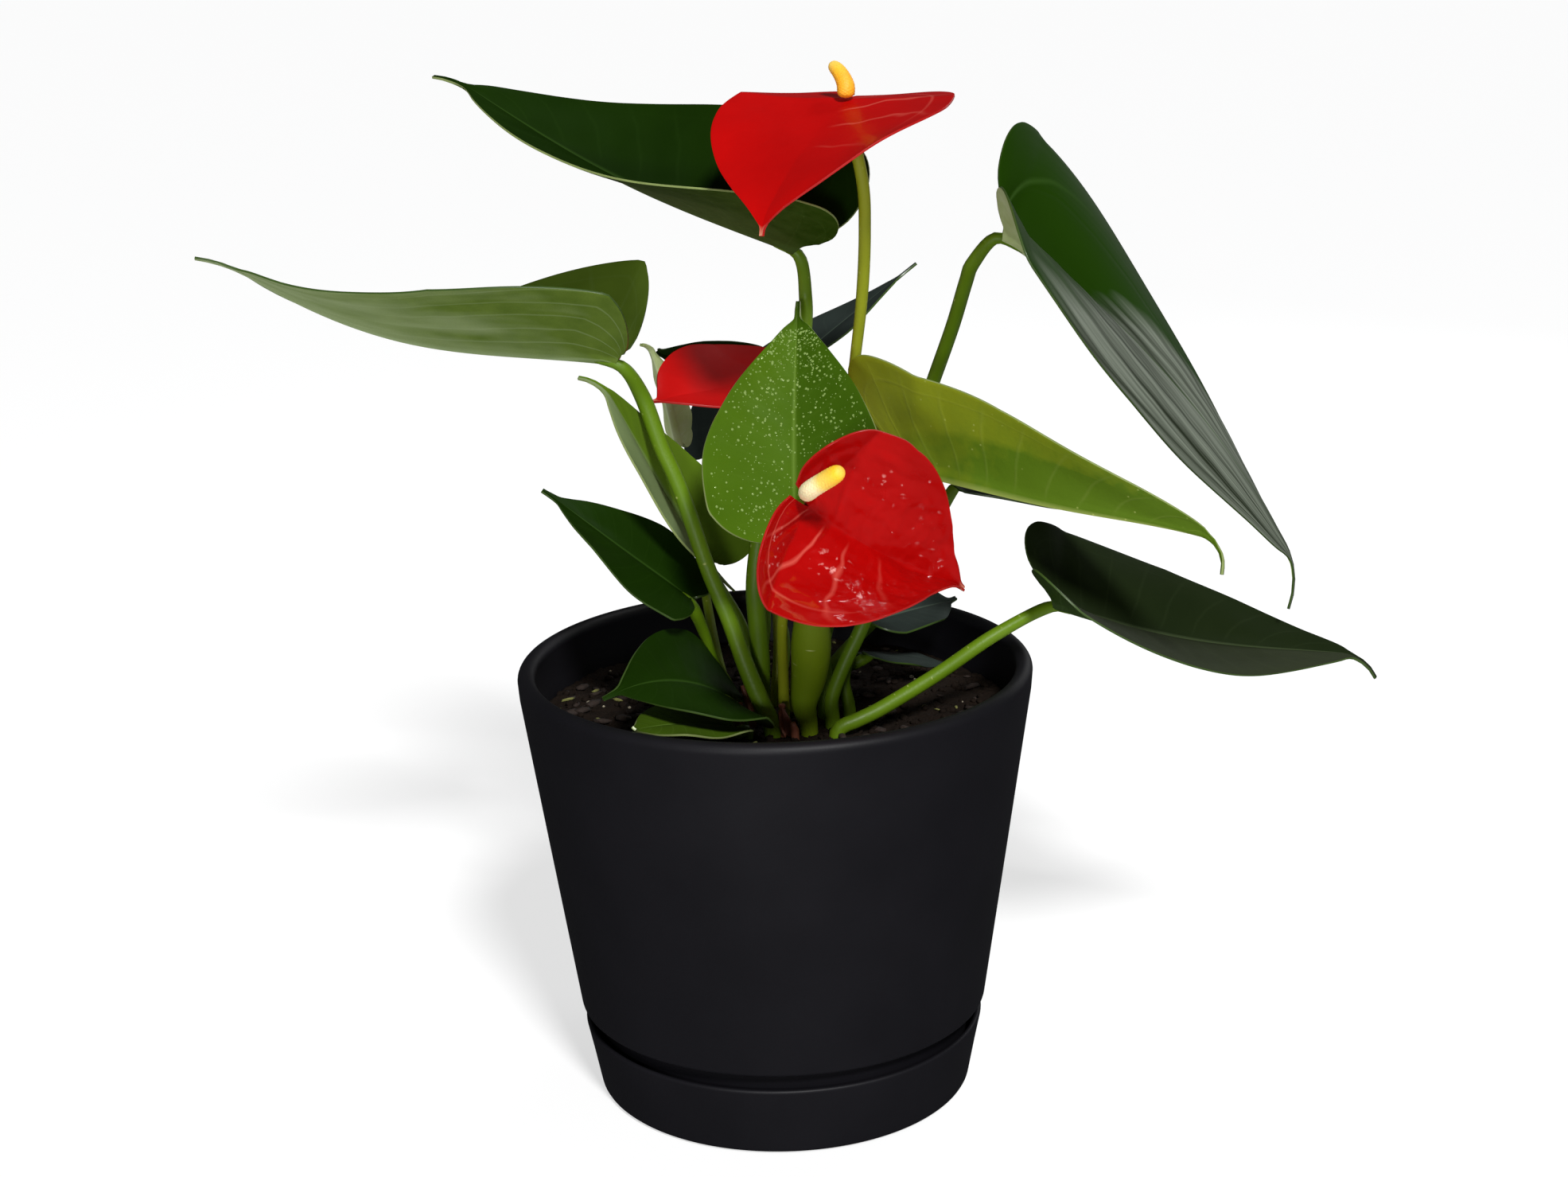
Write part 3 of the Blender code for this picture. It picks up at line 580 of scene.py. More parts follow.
def ridge(value, width):
    return np.exp(-(value / width) ** 2)


def groove(distance, width):
    """0 in a vein's groove, rising to 1 on the cushions beside it."""
    return 1 - np.exp(-(distance / width) ** 2)


def leaf_relief(d, u, v):
    """A groove over the midrib, shallow ones over the side veins and a slow swell."""
    wide, _ = margin(d, v)
    way = np.abs(u)
    fade = np.minimum(1, 5 * way) * (1 - way ** 6) * np.minimum(1, 4 * (1 - v))
    size = min(1, d["half"] / 24)
    quilt = -np.cos(2 * pi * (v - LEAF_SKEW * way) * LEAF_VEINS)
    swell = np.sin(5 * u + 7 * v + d["half"]) * np.sin(9 * v + 2)
    return size * (0.05 * quilt + 0.22 * swell) * fade - 0.3 * ridge(way * wide, 1.0) * (1 - v)


def spathe_relief(d, u, v):
    """A spathe's cushions, which puff up between its side veins, the gathering vein and the midrib."""
    way = np.abs(u)
    wide, _ = margin(d, v)
    spaced = (v - SPATHE_SKEW * way) * SPATHE_VEINS
    off = np.abs(spaced - np.floor(spaced) - 0.5)
    side = off / SPATHE_VEINS * 1.6 * d["length"]
    gather = np.abs(way - GATHER_AT) * wide
    lobes = np.clip(1.4 - 2.6 * v, 0, 1)
    puff = lobes * groove(side, 1.3) * groove(gather, 1.0) * groove(way * wide, 2.2)
    x = u * wide
    y = d["length"] * v**1.25
    dents = np.array([noise.fractal(Vector((a / 7, b / 7, d["half"])), 0.9, 2.0, 3)
                      for a, b in zip(x, y)])
    crinkle = np.array([noise.noise(Vector((a / 1.7, b / 1.7, 1.0))) for a, b in zip(x, y)])
    patches = np.array([noise.noise(Vector((a / 9, b / 9, 7.0 + d["half"]))) for a, b in zip(x, y)])
    crinkle = crinkle * np.clip(0.2 + 3 * patches, 0, 1)
    fade = np.minimum(1, 6 * (1 - v)) * (1 - way ** 10)
    return fade * (0.5 * puff - 0.2 + 0.6 * dents + 0.16 * crinkle)


def calm_relief(d, u, v):
    """The softer cushions of a spathe that has hardly any crinkles."""
    swell = np.sin(4 * u + 6 * v + d["half"]) * np.sin(8 * v + 2)
    return 0.25 * swell * np.minimum(1, 6 * (1 - v)) * (1 - np.abs(u) ** 6)


def blade(name, d, looks, node, relief, cells):
    """A thin curved blade with its raised midrib underneath and a rounded margin."""
    bm, u, v = grid(2 * cells[0], cells[1])
    u = 2 * u - 1
    spots, _ = bent(d, u, v, relief(d, u, v))
    put(bm, spots)
    made = piece(name, bm, looks, node)
    group = made.vertex_groups.new(name="rib")
    wide, _ = margin(d, v)
    weights = ridge(np.abs(u) * wide, 0.9) * (1 - 0.85 * v)
    for index, weight in enumerate(weights):
        if weight > 0.01:
            group.add([index], float(weight), "REPLACE")
    skin = made.modifiers.new("thickness", "SOLIDIFY")
    skin.thickness = RIB * MM
    skin.offset = -1
    skin.vertex_group = "rib"
    skin.thickness_vertex_group = SKIN / RIB
    skin.material_offset = 1
    skin.material_offset_rim = 2
    soft = made.modifiers.new("soft margin", "BEVEL")
    soft.width = SOFT_MARGIN * MM
    soft.segments = 2
    soft.limit_method = "ANGLE"
    soft.angle_limit = radians(50)


def tube(rows, sides, relief=None):
    """A grid rolled round a line of (x, y, z, radius), closed at both ends."""
    bm, u, v = grid(sides, len(rows) - 1)
    centres = rows[:, :3]
    ahead = np.gradient(centres, axis=0)
    ahead /= np.linalg.norm(ahead, axis=1)[:, None]
    side = np.cross(ahead[0], (0.3, 0.9, 0.1))
    sides_at = []
    for way in ahead:
        side = side - way * (side @ way)
        side = side / np.linalg.norm(side)
        sides_at.append(side)
    sides_at = np.array(sides_at)
    ups = np.cross(sides_at, ahead)
    at = np.rint(v * (len(rows) - 1)).astype(int)
    turn = 2 * pi * u
    radius = rows[at, 3] + (relief(u, v) if relief else 0)
    out = np.cos(turn)[:, None] * sides_at[at] + np.sin(turn)[:, None] * ups[at]
    put(bm, centres[at] + radius[:, None] * out)
    bmesh.ops.remove_doubles(bm, verts=bm.verts, dist=1e-6)
    bmesh.ops.holes_fill(bm, edges=bm.edges)
    bmesh.ops.recalc_face_normals(bm, faces=bm.faces)
    return bm


def stalk(name, points, look, node, joint=0.0):
    """A stalk that stands in the soil and may swell a little at the joint below its blade."""
    x, y, radius = points[0]
    low, high = FOOT_HEIGHTS
    points = [(x, y, low, radius * 1.05), (x, y, high, radius * 1.04)] + points[1:]
    _, length = smooth_line(points, 10)
    rows, length = smooth_line(points, max(12, int(length / STALK_STEP)))
    left = length * (1 - np.linspace(0, 1, len(rows)))
    rows[:, 3] = np.maximum(rows[:, 3], 0.4) * (1 + joint * ridge(left - 6, 4.5))
    piece(name, tube(rows, STALK_SIDES), [look], node)


def leaf(name, looks, slot, points, **design):
    """A leaf: its blade and its stalk, which has points of (x, y, z, radius) after its foot. The looks
    are those of the top, the underside, the margin and the stalk."""
    d = shape(**design)
    node = "leaf_" + name
    blade(name + "_blade", d, looks[:3], node, leaf_relief, LEAF_GRID)
    spots, frames = midrib(d)
    ahead, _, up = frames[0]
    under = spots[0] - 1.5 * ahead - 1.5 * up
    end = spots[0] + 0.05 * d["length"] * ahead - 0.55 * up
    while len(points) > 3 and np.linalg.norm(under - points[-1][:3]) < JOINT_REACH:
        points = points[:-1]
    ends = [(*under, TIP_RADIUS * 1.15), (*end, TIP_RADIUS * 0.55)]
    stalk(name + "_stalk", points + ends, looks[3], node, JOINT_SWELL)
    return d


def bloom(name, face, spike_look, relief, radii, points, spike_points, **design):
    """A bloom: spathe, stalk and spadix, whose radii are given at its foot and tip."""
    d = shape(outline=BLOOM_OUTLINE, **design)
    node = "bloom_" + name
    looks = [face, SPATHE_BACK, SPATHE_EDGE]
    blade(name + "_spathe", d, looks, node + "_spathe", relief, SPATHE_GRID)
    spots, frames = midrib(d)
    ahead, _, up = frames[0]
    under = spots[0] + 1.5 * ahead - 1.0 * up
    below = spots[0] + 1.5 * ahead - 6.0 * up
    radius = points[-1][3]
    points = points + [(*below, radius), (*under, radius * 0.9)]
    stalk(name + "_bloom_stalk", points, BLOOM_STALK, node + "_stalk")
    rows, _ = smooth_line([(*point, 1) for point in spike_points], SPADIX_RINGS)
    share = np.linspace(0, 1, len(rows))
    ends = np.sqrt(np.clip(1 - np.abs(2 * share - 1) ** 7, 0.004, 1))
    rows[:, 3] = (radii[0] + (radii[1] - radii[0]) * share) * ends

    def florets(u, v):
        """Rows of little knobs, each beside the gap of the row below."""
        about, along = FLORETS[0] * pi * u, FLORETS[1] * pi * v
        knobs = np.abs(np.sin(about + along) * np.sin(about - along))
        return 0.14 * (knobs - 0.5) * np.minimum(1, 12 * np.minimum(v, 1 - v))

    bm = tube(rows, SPADIX_SIDES, florets)
    piece(name + "_spadix", bm, [spike_look], node + "_spadix")


def turned(name, section, look, node):
    """A closed section of (radius, height) turned round the Z axis."""
    bm = bmesh.new()
    points = [bm.verts.new((r * MM, 0, z * MM)) for r, z in section]
    edges = [bm.edges.new(pair) for pair in zip(points, points[1:])]
    bmesh.ops.spin(bm, geom=points + edges, axis=(0, 0, 1), cent=(0, 0, 0), angle=2 * pi,
                   steps=POT_STEPS, use_merge=True)
    bmesh.ops.remove_doubles(bm, verts=bm.verts, dist=1e-6)
    bmesh.ops.recalc_face_normals(bm, faces=bm.faces)
    made = piece(name, bm, [look], node)
    made.data.set_sharp_from_angle(angle=radians(40))


def arc(centre, radius, first, last, count):
    """Points on an arc of a section, from one angle to another in degrees."""
    turns = [radians(first + (last - first) * k / count) for k in range(count + 1)]
    return [(centre[0] + radius * cos(t), centre[1] + radius * sin(t)) for t in turns]


def peat_height(x, y):
    """The height of the peat's top at a place in mm: low mounds with crumbs on them."""
    mound = noise.noise(Vector((x / 17, y / 17, 0.3)))
    crumbs = 1 - noise.voronoi(Vector((x / 2.6, y / 2.6, 1.0)))[0][0]
    fine = noise.fractal(Vector((x / 1.7, y / 1.7, 4.0)), 0.8, 2.0, 3)
    return PEAT_HEIGHT + 1.1 * mound + 0.9 * crumbs + 0.35 * fine


def crumb(bm, at, size, turn, flat, grain):
    """A small rough lump: a ball pulled out of shape, long and flat as its kind is."""
    found = bmesh.ops.create_icosphere(bm, subdivisions=1, radius=1.0)["verts"]
    spin = Matrix.Rotation(turn, 3, "Z") @ Matrix.Rotation(0.7 * grain - 0.35, 3, "X")
    for point in found:
        way = point.co.normalized()
        dent = 1 + 0.45 * noise.noise(way * 1.6 + Vector((grain * 9, turn, 0)))
        spot = Vector((way.x, way.y * flat[0], way.z * flat[1])) * size * dent
        point.co = (spin @ spot + Vector(at)) * MM


def strewn(name, count, seed, sizes, flat, look, outward=1.0):
    """Crumbs strewn over the peat, crowding toward the pot's wall when outward is above 1."""
    draw = np.random.default_rng(seed)
    bm = bmesh.new()
    for _ in range(count):
        radius = STREWN_RADIUS * draw.random() ** (0.5 / outward)
        turn = draw.uniform(0, 2 * pi)
        x, y = radius * cos(turn), radius * sin(turn)
        size = draw.uniform(*sizes)
        spot = (x, y, peat_height(x, y) + 0.2 * size)
        crumb(bm, spot, size, draw.uniform(0, pi), flat, draw.random())
    bmesh.ops.recalc_face_normals(bm, faces=bm.faces)
    piece(name, bm, [look], None)


def fill_peat(look):
    """The peat: a fine crumbly top on a body that stays clear of the pot's wall."""
    bm, u, v = grid(PEAT_CELLS, PEAT_CELLS)
    a, b = 2 * u - 1, 2 * v - 1
    x = PEAT_RADIUS * a * np.sqrt(1 - b * b / 2)
    y = PEAT_RADIUS * b * np.sqrt(1 - a * a / 2)
    put(bm, [(p, q, peat_height(p, q)) for p, q in zip(x, y)])
    rim = [edge for edge in bm.edges if edge.is_boundary]
    for share, height in PEAT_SIDE:
        made = bmesh.ops.extrude_edge_only(bm, edges=rim)["geom"]
        rim = [part for part in made if isinstance(part, bmesh.types.BMEdge)]
        for point in {p for edge in rim for p in edge.verts}:
            flat = Vector((point.co.x, point.co.y, 0)).normalized() * PEAT_RADIUS * share * MM
            point.co = (flat.x, flat.y, height * MM)
    bmesh.ops.holes_fill(bm, edges=rim)
    bmesh.ops.recalc_face_normals(bm, faces=bm.faces)
    piece("peat", bm, [look], "soil")


def drops(name, d, count, seed, sizes, span, look):
    """Water drops that sit on a blade's upper face, across and along the given span of it."""
    draw = np.random.default_rng(seed)
    low, high, near, far = span
    bm = bmesh.new()
    mould = bpy.data.meshes.new(name + "_mould")
    u = draw.uniform(low, high, count)
    v = near + (far - near) * draw.random(count) ** 0.8
    spots, normals = bent(d, u, v, leaf_relief(d, u, v))
    for spot, normal, share in zip(spots, normals, draw.random(count)):
        size = sizes[0] + (sizes[1] - sizes[0]) * share**2.5
        one = bmesh.new()
        bmesh.ops.create_uvsphere(one, u_segments=7, v_segments=4, radius=size * MM)
        turn = Vector(normal).to_track_quat("Z", "Y").to_matrix()
        for point in one.verts:
            point.co.z = point.co.z * 0.5 + 0.1 * size * MM
            point.co = turn @ point.co + Vector(spot) * MM
        one.to_mesh(mould)
        one.free()
        bm.from_mesh(mould)
    bpy.data.meshes.remove(mould)
    piece(name, bm, [look], None)


# Finishes of this plant

BLACK = plastic("black_plastic")
PEAT = peat_crumb("damp_peat")
BARK = grained("bark_chips", (0.006, 0.003, 0.002), (0.028, 0.013, 0.007), 1.6, 0.8, 0.3)
PERLITE = grained("perlite", (0.16, 0.13, 0.09), (0.42, 0.38, 0.28), 1.2, 0.8, 0.2)
MOSS = grained("moss_bits", (0.06, 0.07, 0.012), (0.26, 0.25, 0.07), 1.0, 0.8, 0.3)
DARK_TOP = leaf_top("dark_leaf_top", (0.004, 0.014, 0.0005), (0.0075, 0.024, 0.0009),
                    (0.03, 0.07, 0.01), 0.05)
DUSK_TOP = leaf_top("dusky_leaf_top", (0.024, 0.042, 0.003), (0.05, 0.08, 0.008),
                    (0.08, 0.12, 0.04), 0.1)
# The low leaf's right half is a grey-green painted sheen
LOW_TOP = leaf_top("low_leaf_top", (0.006, 0.011, 0.0028), (0.01, 0.0165, 0.0045),
                   (0.05, 0.07, 0.03), 0.06, (0.022, 0.028, 0.014))
# The hanging leaf's green, then the dark and pale greys of its painted sheen, and its veins
HANGING_TOP = streaked_top("hanging_leaf_top", (0.0085, 0.03, 0.0004), (0.014, 0.019, 0.01),
                           (0.145, 0.165, 0.13), (0.05, 0.11, 0.02))
# The young leaf's bright greens are partly its own and partly painted light shining through it; its darker
# right half is painted shade
FRESH_TOP = leaf_top("fresh_leaf_top", (0.042, 0.095, 0.002), (0.064, 0.135, 0.004),
                     (0.13, 0.22, 0.03), 0.04, (0.034, 0.082, 0.002), 0.36, 0.2)
LIT_TOP = leaf_top("lit_leaf_top", (0.03, 0.06, 0.003), (0.05, 0.095, 0.006),
                   (0.14, 0.24, 0.04), 0.1)
# This leaf's right half is a brighter green, partly painted light on a half that lies in shade
TWO_TONE_TOP = leaf_top("two_tone_leaf_top", (0.14, 0.19, 0.075), (0.18, 0.24, 0.105),
                        (0.1, 0.16, 0.03), 0.05, (0.078, 0.14, 0.008))
# The grey on these dark leaves' tops is partly a painted sheen
SHEEN_GREY_TOP = leaf_top("grey_leaf_top", (0.016, 0.022, 0.019), (0.03, 0.04, 0.036),
                    (0.08, 0.11, 0.08), 0.05)
SAGE_UNDER = leaf_under("sage_leaf_underside", (0.12, 0.2, 0.045), (0.19, 0.28, 0.085),
                        (0.27, 0.37, 0.14))
LONG_UNDER = long_veined("long_veined_underside", (0.055, 0.1, 0.005), (0.12, 0.18, 0.022),
                         (0.25, 0.31, 0.15), (0.32, 0.4, 0.22))
# Very pale: partly the leaves' own colour, partly painted light on the narrow leaf, which lies in the back
# bloom's shade
PALE_UNDER = leaf_under("pale_leaf_underside", (0.3, 0.37, 0.13), (0.42, 0.48, 0.26),
                        (0.5, 0.55, 0.4), None, 0.1)
MID_UNDER = leaf_under("leaf_underside", (0.012, 0.032, 0.001), (0.022, 0.048, 0.003),
                       (0.08, 0.13, 0.03), (0.05, 0.075, 0.016), 0.06, 0.04)
DARK_UNDER = leaf_under("dark_leaf_underside", (0.014, 0.034, 0.004), (0.026, 0.052, 0.008),
                        (0.08, 0.14, 0.04), None, 0.1)
# Its bright yellow is partly painted light shining through the leaf; the darker green toward the tip and
# the fold is painted shade
YELLOW_UNDER = leaf_under("yellow_leaf_underside", (0.22, 0.25, 0.006), (0.36, 0.38, 0.02),
                          (0.5, 0.54, 0.16), (0.075, 0.14, 0.004), 0.05)
GREEN_EDGE = leaf_edge("leaf_margin", (0.045, 0.085, 0.015))
PALE_EDGE = leaf_edge("pale_leaf_margin", (0.24, 0.3, 0.1))
STALK = stalk_skin("green_stalk", (0.06, 0.13, 0.002), (0.12, 0.205, 0.005), (0.48, 0.52, 0.17))
PALE_STALK = stalk_skin("yellow_stalk", (0.08, 0.14, 0.002), (0.17, 0.24, 0.006), (0.56, 0.58, 0.24))
BLOOM_STALK = stalk_skin("bloom_stalk", (0.17, 0.21, 0.006), (0.28, 0.3, 0.014), (0.46, 0.48, 0.16))
RED_DEEP = (0.26, 0.0004, 0.0003)
RED_LIT = (0.38, 0.0008, 0.0006)
# The spathes' paler veins: partly their own pale pink, partly a painted highlight
RED_VEIN = (0.62, 0.11, 0.08)
# Painted highlights on the middle spathe: places on its chart, and radii in mm
PAINTED_GLINTS = [(0.34, 0.38, 4.5), (0.54, 0.54, 4.5), (-0.52, 0.42, 3.5), (-0.66, 0.5, 3),
          (-0.45, 0.72, 4), (0.75, 0.2, 4)]
SPATHE_FACE = spathe_face("spathe_face", RED_DEEP, RED_LIT, RED_VEIN, 0.24, 0.8, 1, PAINTED_GLINTS)
TOP_FACE = spathe_face("top_spathe_face", (0.34, 0.0005, 0.0005), (0.48, 0.0012, 0.001), RED_VEIN,
                       0.4, 0.1, -1)
# The back bloom's face: the spathe's red made brighter, painted light on a bloom that lies in shade
SHADED_FACE = spathe_face("shaded_spathe_face", RED_LIT, (0.6, 0.0015, 0.001), RED_VEIN, 0.4, 0.1)
SPATHE_BACK = spathe_face("spathe_back", (0.36, 0.002, 0.002), (0.5, 0.006, 0.005), RED_VEIN, 0.42, 0.2)
SPATHE_EDGE = leaf_edge("spathe_margin", (0.42, 0.006, 0.005))
TOP_SPIKE = spike("orange_spadix", (0.86, 0.4, 0.012), (0.9, 0.48, 0.02), (0.93, 0.62, 0.12),
                  (0.45, 0.25, 0.08))
YOUNG_SPIKE = spike("cream_spadix", (0.93, 0.82, 0.48), (0.93, 0.66, 0.12), (0.95, 0.52, 0.01),
                    (0.9, 0.5, 0.05))
SHEATH = grained("dry_sheath", (0.07, 0.018, 0.008), (0.2, 0.06, 0.028), 3.0, 0.55, 0.15)
DEW = water("water_drops")

DARK = (DARK_TOP, DARK_UNDER, GREEN_EDGE, STALK)
# Looks of the leaves whose grey tops are partly a painted sheen
GREY = (SHEEN_GREY_TOP, DARK_UNDER, GREEN_EDGE, STALK)

# Pot, saucer and peat

SAUCER_SECTION = (
    [(0, 0), (46.8, 0)] + arc((47.0, 1.6), 1.6, -90, -5, 5)
    + [(50.4, 11.0), (51.75, 17.6)] + arc((51.1, 18.0), 0.68, -10, 175, 8)
    + [(49.0, 11.0), (47.75, 4.2)] + arc((46.0, 3.6), 1.6, 0, -90, 5) + [(0, 2.0)]
)
POT_SECTION = (
    [(0, 2.3), (45.0, 2.3)] + arc((45.2, 3.6), 1.3, -90, -5, 5)
    + [(48.95, 21.2)] + arc((49.9, 21.4), 0.9, 175, 110, 4) + arc((51.7, 23.9), 1.1, -75, -8, 5)
    + [(58.9, 66.0), (64.75, 106.8)] + arc((62.85, 110.8), 2.2, -12, 192, 16)
    + [(61.4, 107.4), (60.9, 102.0), (50.4, 28.2)] + arc((48.4, 26.6), 2.2, 0, -60, 4)
    + [(47.0, 23.4), (44.6, 6.2), (42.6, 4.1), (0, 4.1)]
)
turned("saucer_shell", SAUCER_SECTION, BLACK, "saucer")
turned("pot_shell", POT_SECTION, BLACK, "pot")
fill_peat(PEAT)
strewn("bark", 150, 11, (0.9, 3.0), (0.45, 0.28), BARK)
strewn("peat_crumbs", 700, 5, (0.5, 1.5), (0.8, 0.7), PEAT)
strewn("perlite_bits", 40, 3, (0.3, 0.9), (0.85, 0.75), PERLITE, 1.6)
strewn("moss", 60, 8, (0.6, 2.2), (0.35, 0.25), MOSS, 1.6)

# Leaves and blooms, with the designs of their solids

leaf("top_left", (DARK_TOP, MID_UNDER, PALE_EDGE, STALK), "dark_leaf",
     [(-4, -6, 2.2), (-3.5, -8, 113, 2.3), (-4, -8, 123.5, 2.4), (-4.5, -8, 136, 2.2),
     (-2.5, -6, 150, 1.9), (2, -4, 165.5, 1.8), (7.5, 0, 182.5, 1.8), (9.5, 9, 194.5, 1.8),
     (10, 15, 202.5, 1.7), (9, 14, 209.5, 1.8)],
     at=(7.5, 12, 215), aim=(158, 17.5, 21.5), size=(109.5, 29.5, 14), bend=(14, -34, 20), sway=8,
     twist=4, fold=(56, 7), lean=-3, curl=-1, lift=22, hook=(26, 1), left=(-0.1, -0.02, -0.04),
     right=(0.02, 0.04, 0.06))
leaf("far_left", (DUSK_TOP, LONG_UNDER, GREEN_EDGE, STALK), "green_leaf",
     [(-1, -17, 2.2), (-3.5, -17, 107, 2.3), (-7, -16, 116, 2.2), (-11, -14, 128, 2.1),
     (-16, -12, 141, 2.0), (-20.5, -10, 155.5, 2.0), (-23.5, -9, 164, 2.0), (-26.5, -8, 171, 2.0),
     (-30.5, -7, 183, 2.0), (-33.5, -6.5, 189, 2.0)],
     at=(-36, -11.5, 193), aim=(170, 7, 2.5), size=(108, 30.5, 4), bend=(40, -60, -23), sway=-8,
     twist=-39, fold=(49, -3), lean=-1, curl=-6, lift=-7, hook=(24, 2), left=(-0.1, 0.12, -0.08),
     right=(-0.04, 0, -0.02))
young_leaf = leaf("centre", (FRESH_TOP, SAGE_UNDER, PALE_EDGE, PALE_STALK), "fresh_leaf",
     [(8, -17, 2.2), (7, -18, 107, 3.2), (8.5, -19, 115.5, 4.5), (9, -21, 124.5, 4.9),
     (9, -24, 133.5, 3.6), (8, -28, 144.5, 2.1), (6.5, -31, 152.5, 1.8)],
     at=(5.5, -32.5, 157), aim=(89.5, 55, -13), size=(62, 24, 6.5), bend=(2, 21, 14), sway=6, twist=11,
     fold=(26, 16), lean=12, curl=10, lift=3, hook=(8, -1), left=(0.02, 0, -0.06),
     right=(0.04, 0.02, -0.02))
leaf("right_pale", (DARK_TOP, YELLOW_UNDER, PALE_EDGE, STALK), "pale_leaf",
     [(14, -13, 1.8), (14, -13.5, 107, 1.8), (17.5, -13, 116, 1.8), (21.5, -12, 124, 1.8),
     (26, -11, 135, 1.8), (31.5, -9.5, 150, 1.8), (34.5, -9, 159, 1.8)],
     at=(35.5, -5, 162.5), aim=(-28.5, -8, 39), size=(86, 27, 23.5), bend=(9, -20, 63), sway=0, twist=-6,
     fold=(47, 29), lean=-2, curl=-17, lift=21, hook=(72, -14), left=(-0.02, -0.02, 0.02),
     right=(0.02, -0.08, -0.04))
leaf("hanging", (HANGING_TOP, PALE_UNDER, GREEN_EDGE, STALK), "dark_leaf",
     [(12.5, -5, 2.0), (12.5, -2, 108.5, 1.9), (13, 5, 118, 1.8), (19, 14, 129, 1.7),
     (29, 22, 145.5, 1.7), (37, 26, 163.5, 1.7), (42.5, 25, 179, 1.8), (47, 20, 193.5, 1.8),
     (50, 15, 205.5, 1.8), (51.5, 12, 210.5, 1.8), (54.5, 9, 215, 1.8)],
     at=(59, 8, 217.5), aim=(3.5, -33.5, -23.5), size=(124, 37.5, 13), bend=(31, 23, 26), sway=22,
     twist=2, fold=(43, -24), lean=3, curl=-42, lift=30, hook=(34, 28), left=(-0.08, -0.08, -0.02),
     right=(0.1, 0.02, -0.02))
leaf("low_right", (LOW_TOP, DARK_UNDER, GREEN_EDGE, STALK), "dark_leaf",
     [(15, -21, 1.9), (20, -20, 103, 1.9), (26.5, -18, 105.5, 1.9), (40.5, -15, 113, 1.8),
     (54.5, -12, 121.5, 1.7), (65.5, -10, 127.5, 1.7)],
     at=(70.5, -6.5, 127.5), aim=(6, -23.5, -9), size=(88, 23, 13), bend=(-18, -33, 42), sway=-5,
     twist=-21, fold=(36, 5), lean=-4, curl=-22, lift=21, hook=(40, 27), left=(0, 0.1, -0.06),
     right=(-0.02, 0, -0.02))
leaf("mid_left", (TWO_TONE_TOP, SAGE_UNDER, PALE_EDGE, STALK), "fresh_leaf",
     [(-3, -0.5, 1.7), (-4.5, 2, 107, 1.6), (-6.5, 4.5, 115, 1.5), (-9.5, 8, 122.5, 1.5),
     (-12, 11.5, 129, 1.5)],
     at=(-16, 9, 136), aim=(-142, 56, 58.5), size=(68, 16.5, 4.5), bend=(-9, -15, 29), sway=-4, twist=-2,
     fold=(40, -3), lean=4, curl=2, lift=18, hook=(66, 13), left=(-0.16, -0.1, 0.12),
     right=(-0.12, -0.14, -0.08))
leaf("low_left", DARK, "dark_leaf",
     [(-11, -2.5, 1.5), (-12, -2.5, 107, 1.4), (-15.5, -2.5, 114, 1.4), (-17.5, -6.5, 122.5, 1.4)],
     at=(-20.5, -12.5, 133.5), aim=(166.5, 35, 6), size=(45, 15, 3), bend=(4, -7, -1), sway=-1, twist=27,
     fold=(1, 23), lean=0, curl=-3, lift=10, hook=(2, -3), left=(0.04, -0.02, 0), right=(0.04, 0.1, 0.08))
leaf("in_pot_left", DARK, "dark_leaf",
     [(-8.5, -13, 1.4)],
     at=(-11, -20.3, 109.8), aim=(-148.5, 36, 12.5), size=(41.9, 17.5, 8), bend=(32, 24, 16), sway=-39,
     twist=48, fold=(1, 9), lean=1, curl=22, lift=-9, hook=(29, 0), left=(-0.02, 0, -0.1),
     right=(0, -0.04, 0.1))
leaf("in_pot_front", (LIT_TOP, SAGE_UNDER, PALE_EDGE, STALK), "fresh_leaf",
     [(-7.5, -20, 1.4)],
     at=(-11.5, -24.5, 103.7), aim=(-150.5, 17.5, -9.5), size=(37, 11, 3), bend=(14, 4, -26), sway=-36,
     twist=29, fold=(6, 6), lean=5, curl=-6, lift=-4, hook=(-27, -12), left=(-0.12, -0.02, 0.04),
     right=(0.02, 0.02, 0.06))
leaf("back", GREY, "dark_leaf",
     [(1, 11.5, 1.7), (2.5, 20, 112.5, 1.6), (-1, 30, 123, 1.5), (-4, 50, 139.5, 1.5),
     (-7, 64, 153.5, 1.5)],
     at=(-7, 69, 162.7), aim=(34, 34, 9.5), size=(64.8, 20.1, 18.6), bend=(14, -1, -9), sway=13, twist=1,
     fold=(18, 1), lean=0, curl=-3, lift=-20, hook=(-1, 6), left=(0.02, -0.06, 0), right=(0, 0.04, 0))
leaf("narrow", (LIT_TOP, PALE_UNDER, PALE_EDGE, PALE_STALK), "pale_leaf",
     [(-12, 1.5, 1.4), (-15, 12, 111.5, 1.3), (-17, 21, 120.5, 1.2), (-19, 30, 132, 1.1),
     (-21.5, 36, 147.5, 1.1)],
     at=(-24.5, 40, 160), aim=(-103.5, 64.5, -1.5), size=(33, 6.5, 5.5), bend=(-17, -3, 39), sway=12,
     twist=23, fold=(61, 27), lean=-3, curl=5, lift=29, hook=(42, 11), left=(0.12, -0.08, 0.04),
     right=(-0.1, 0.02, -0.04))
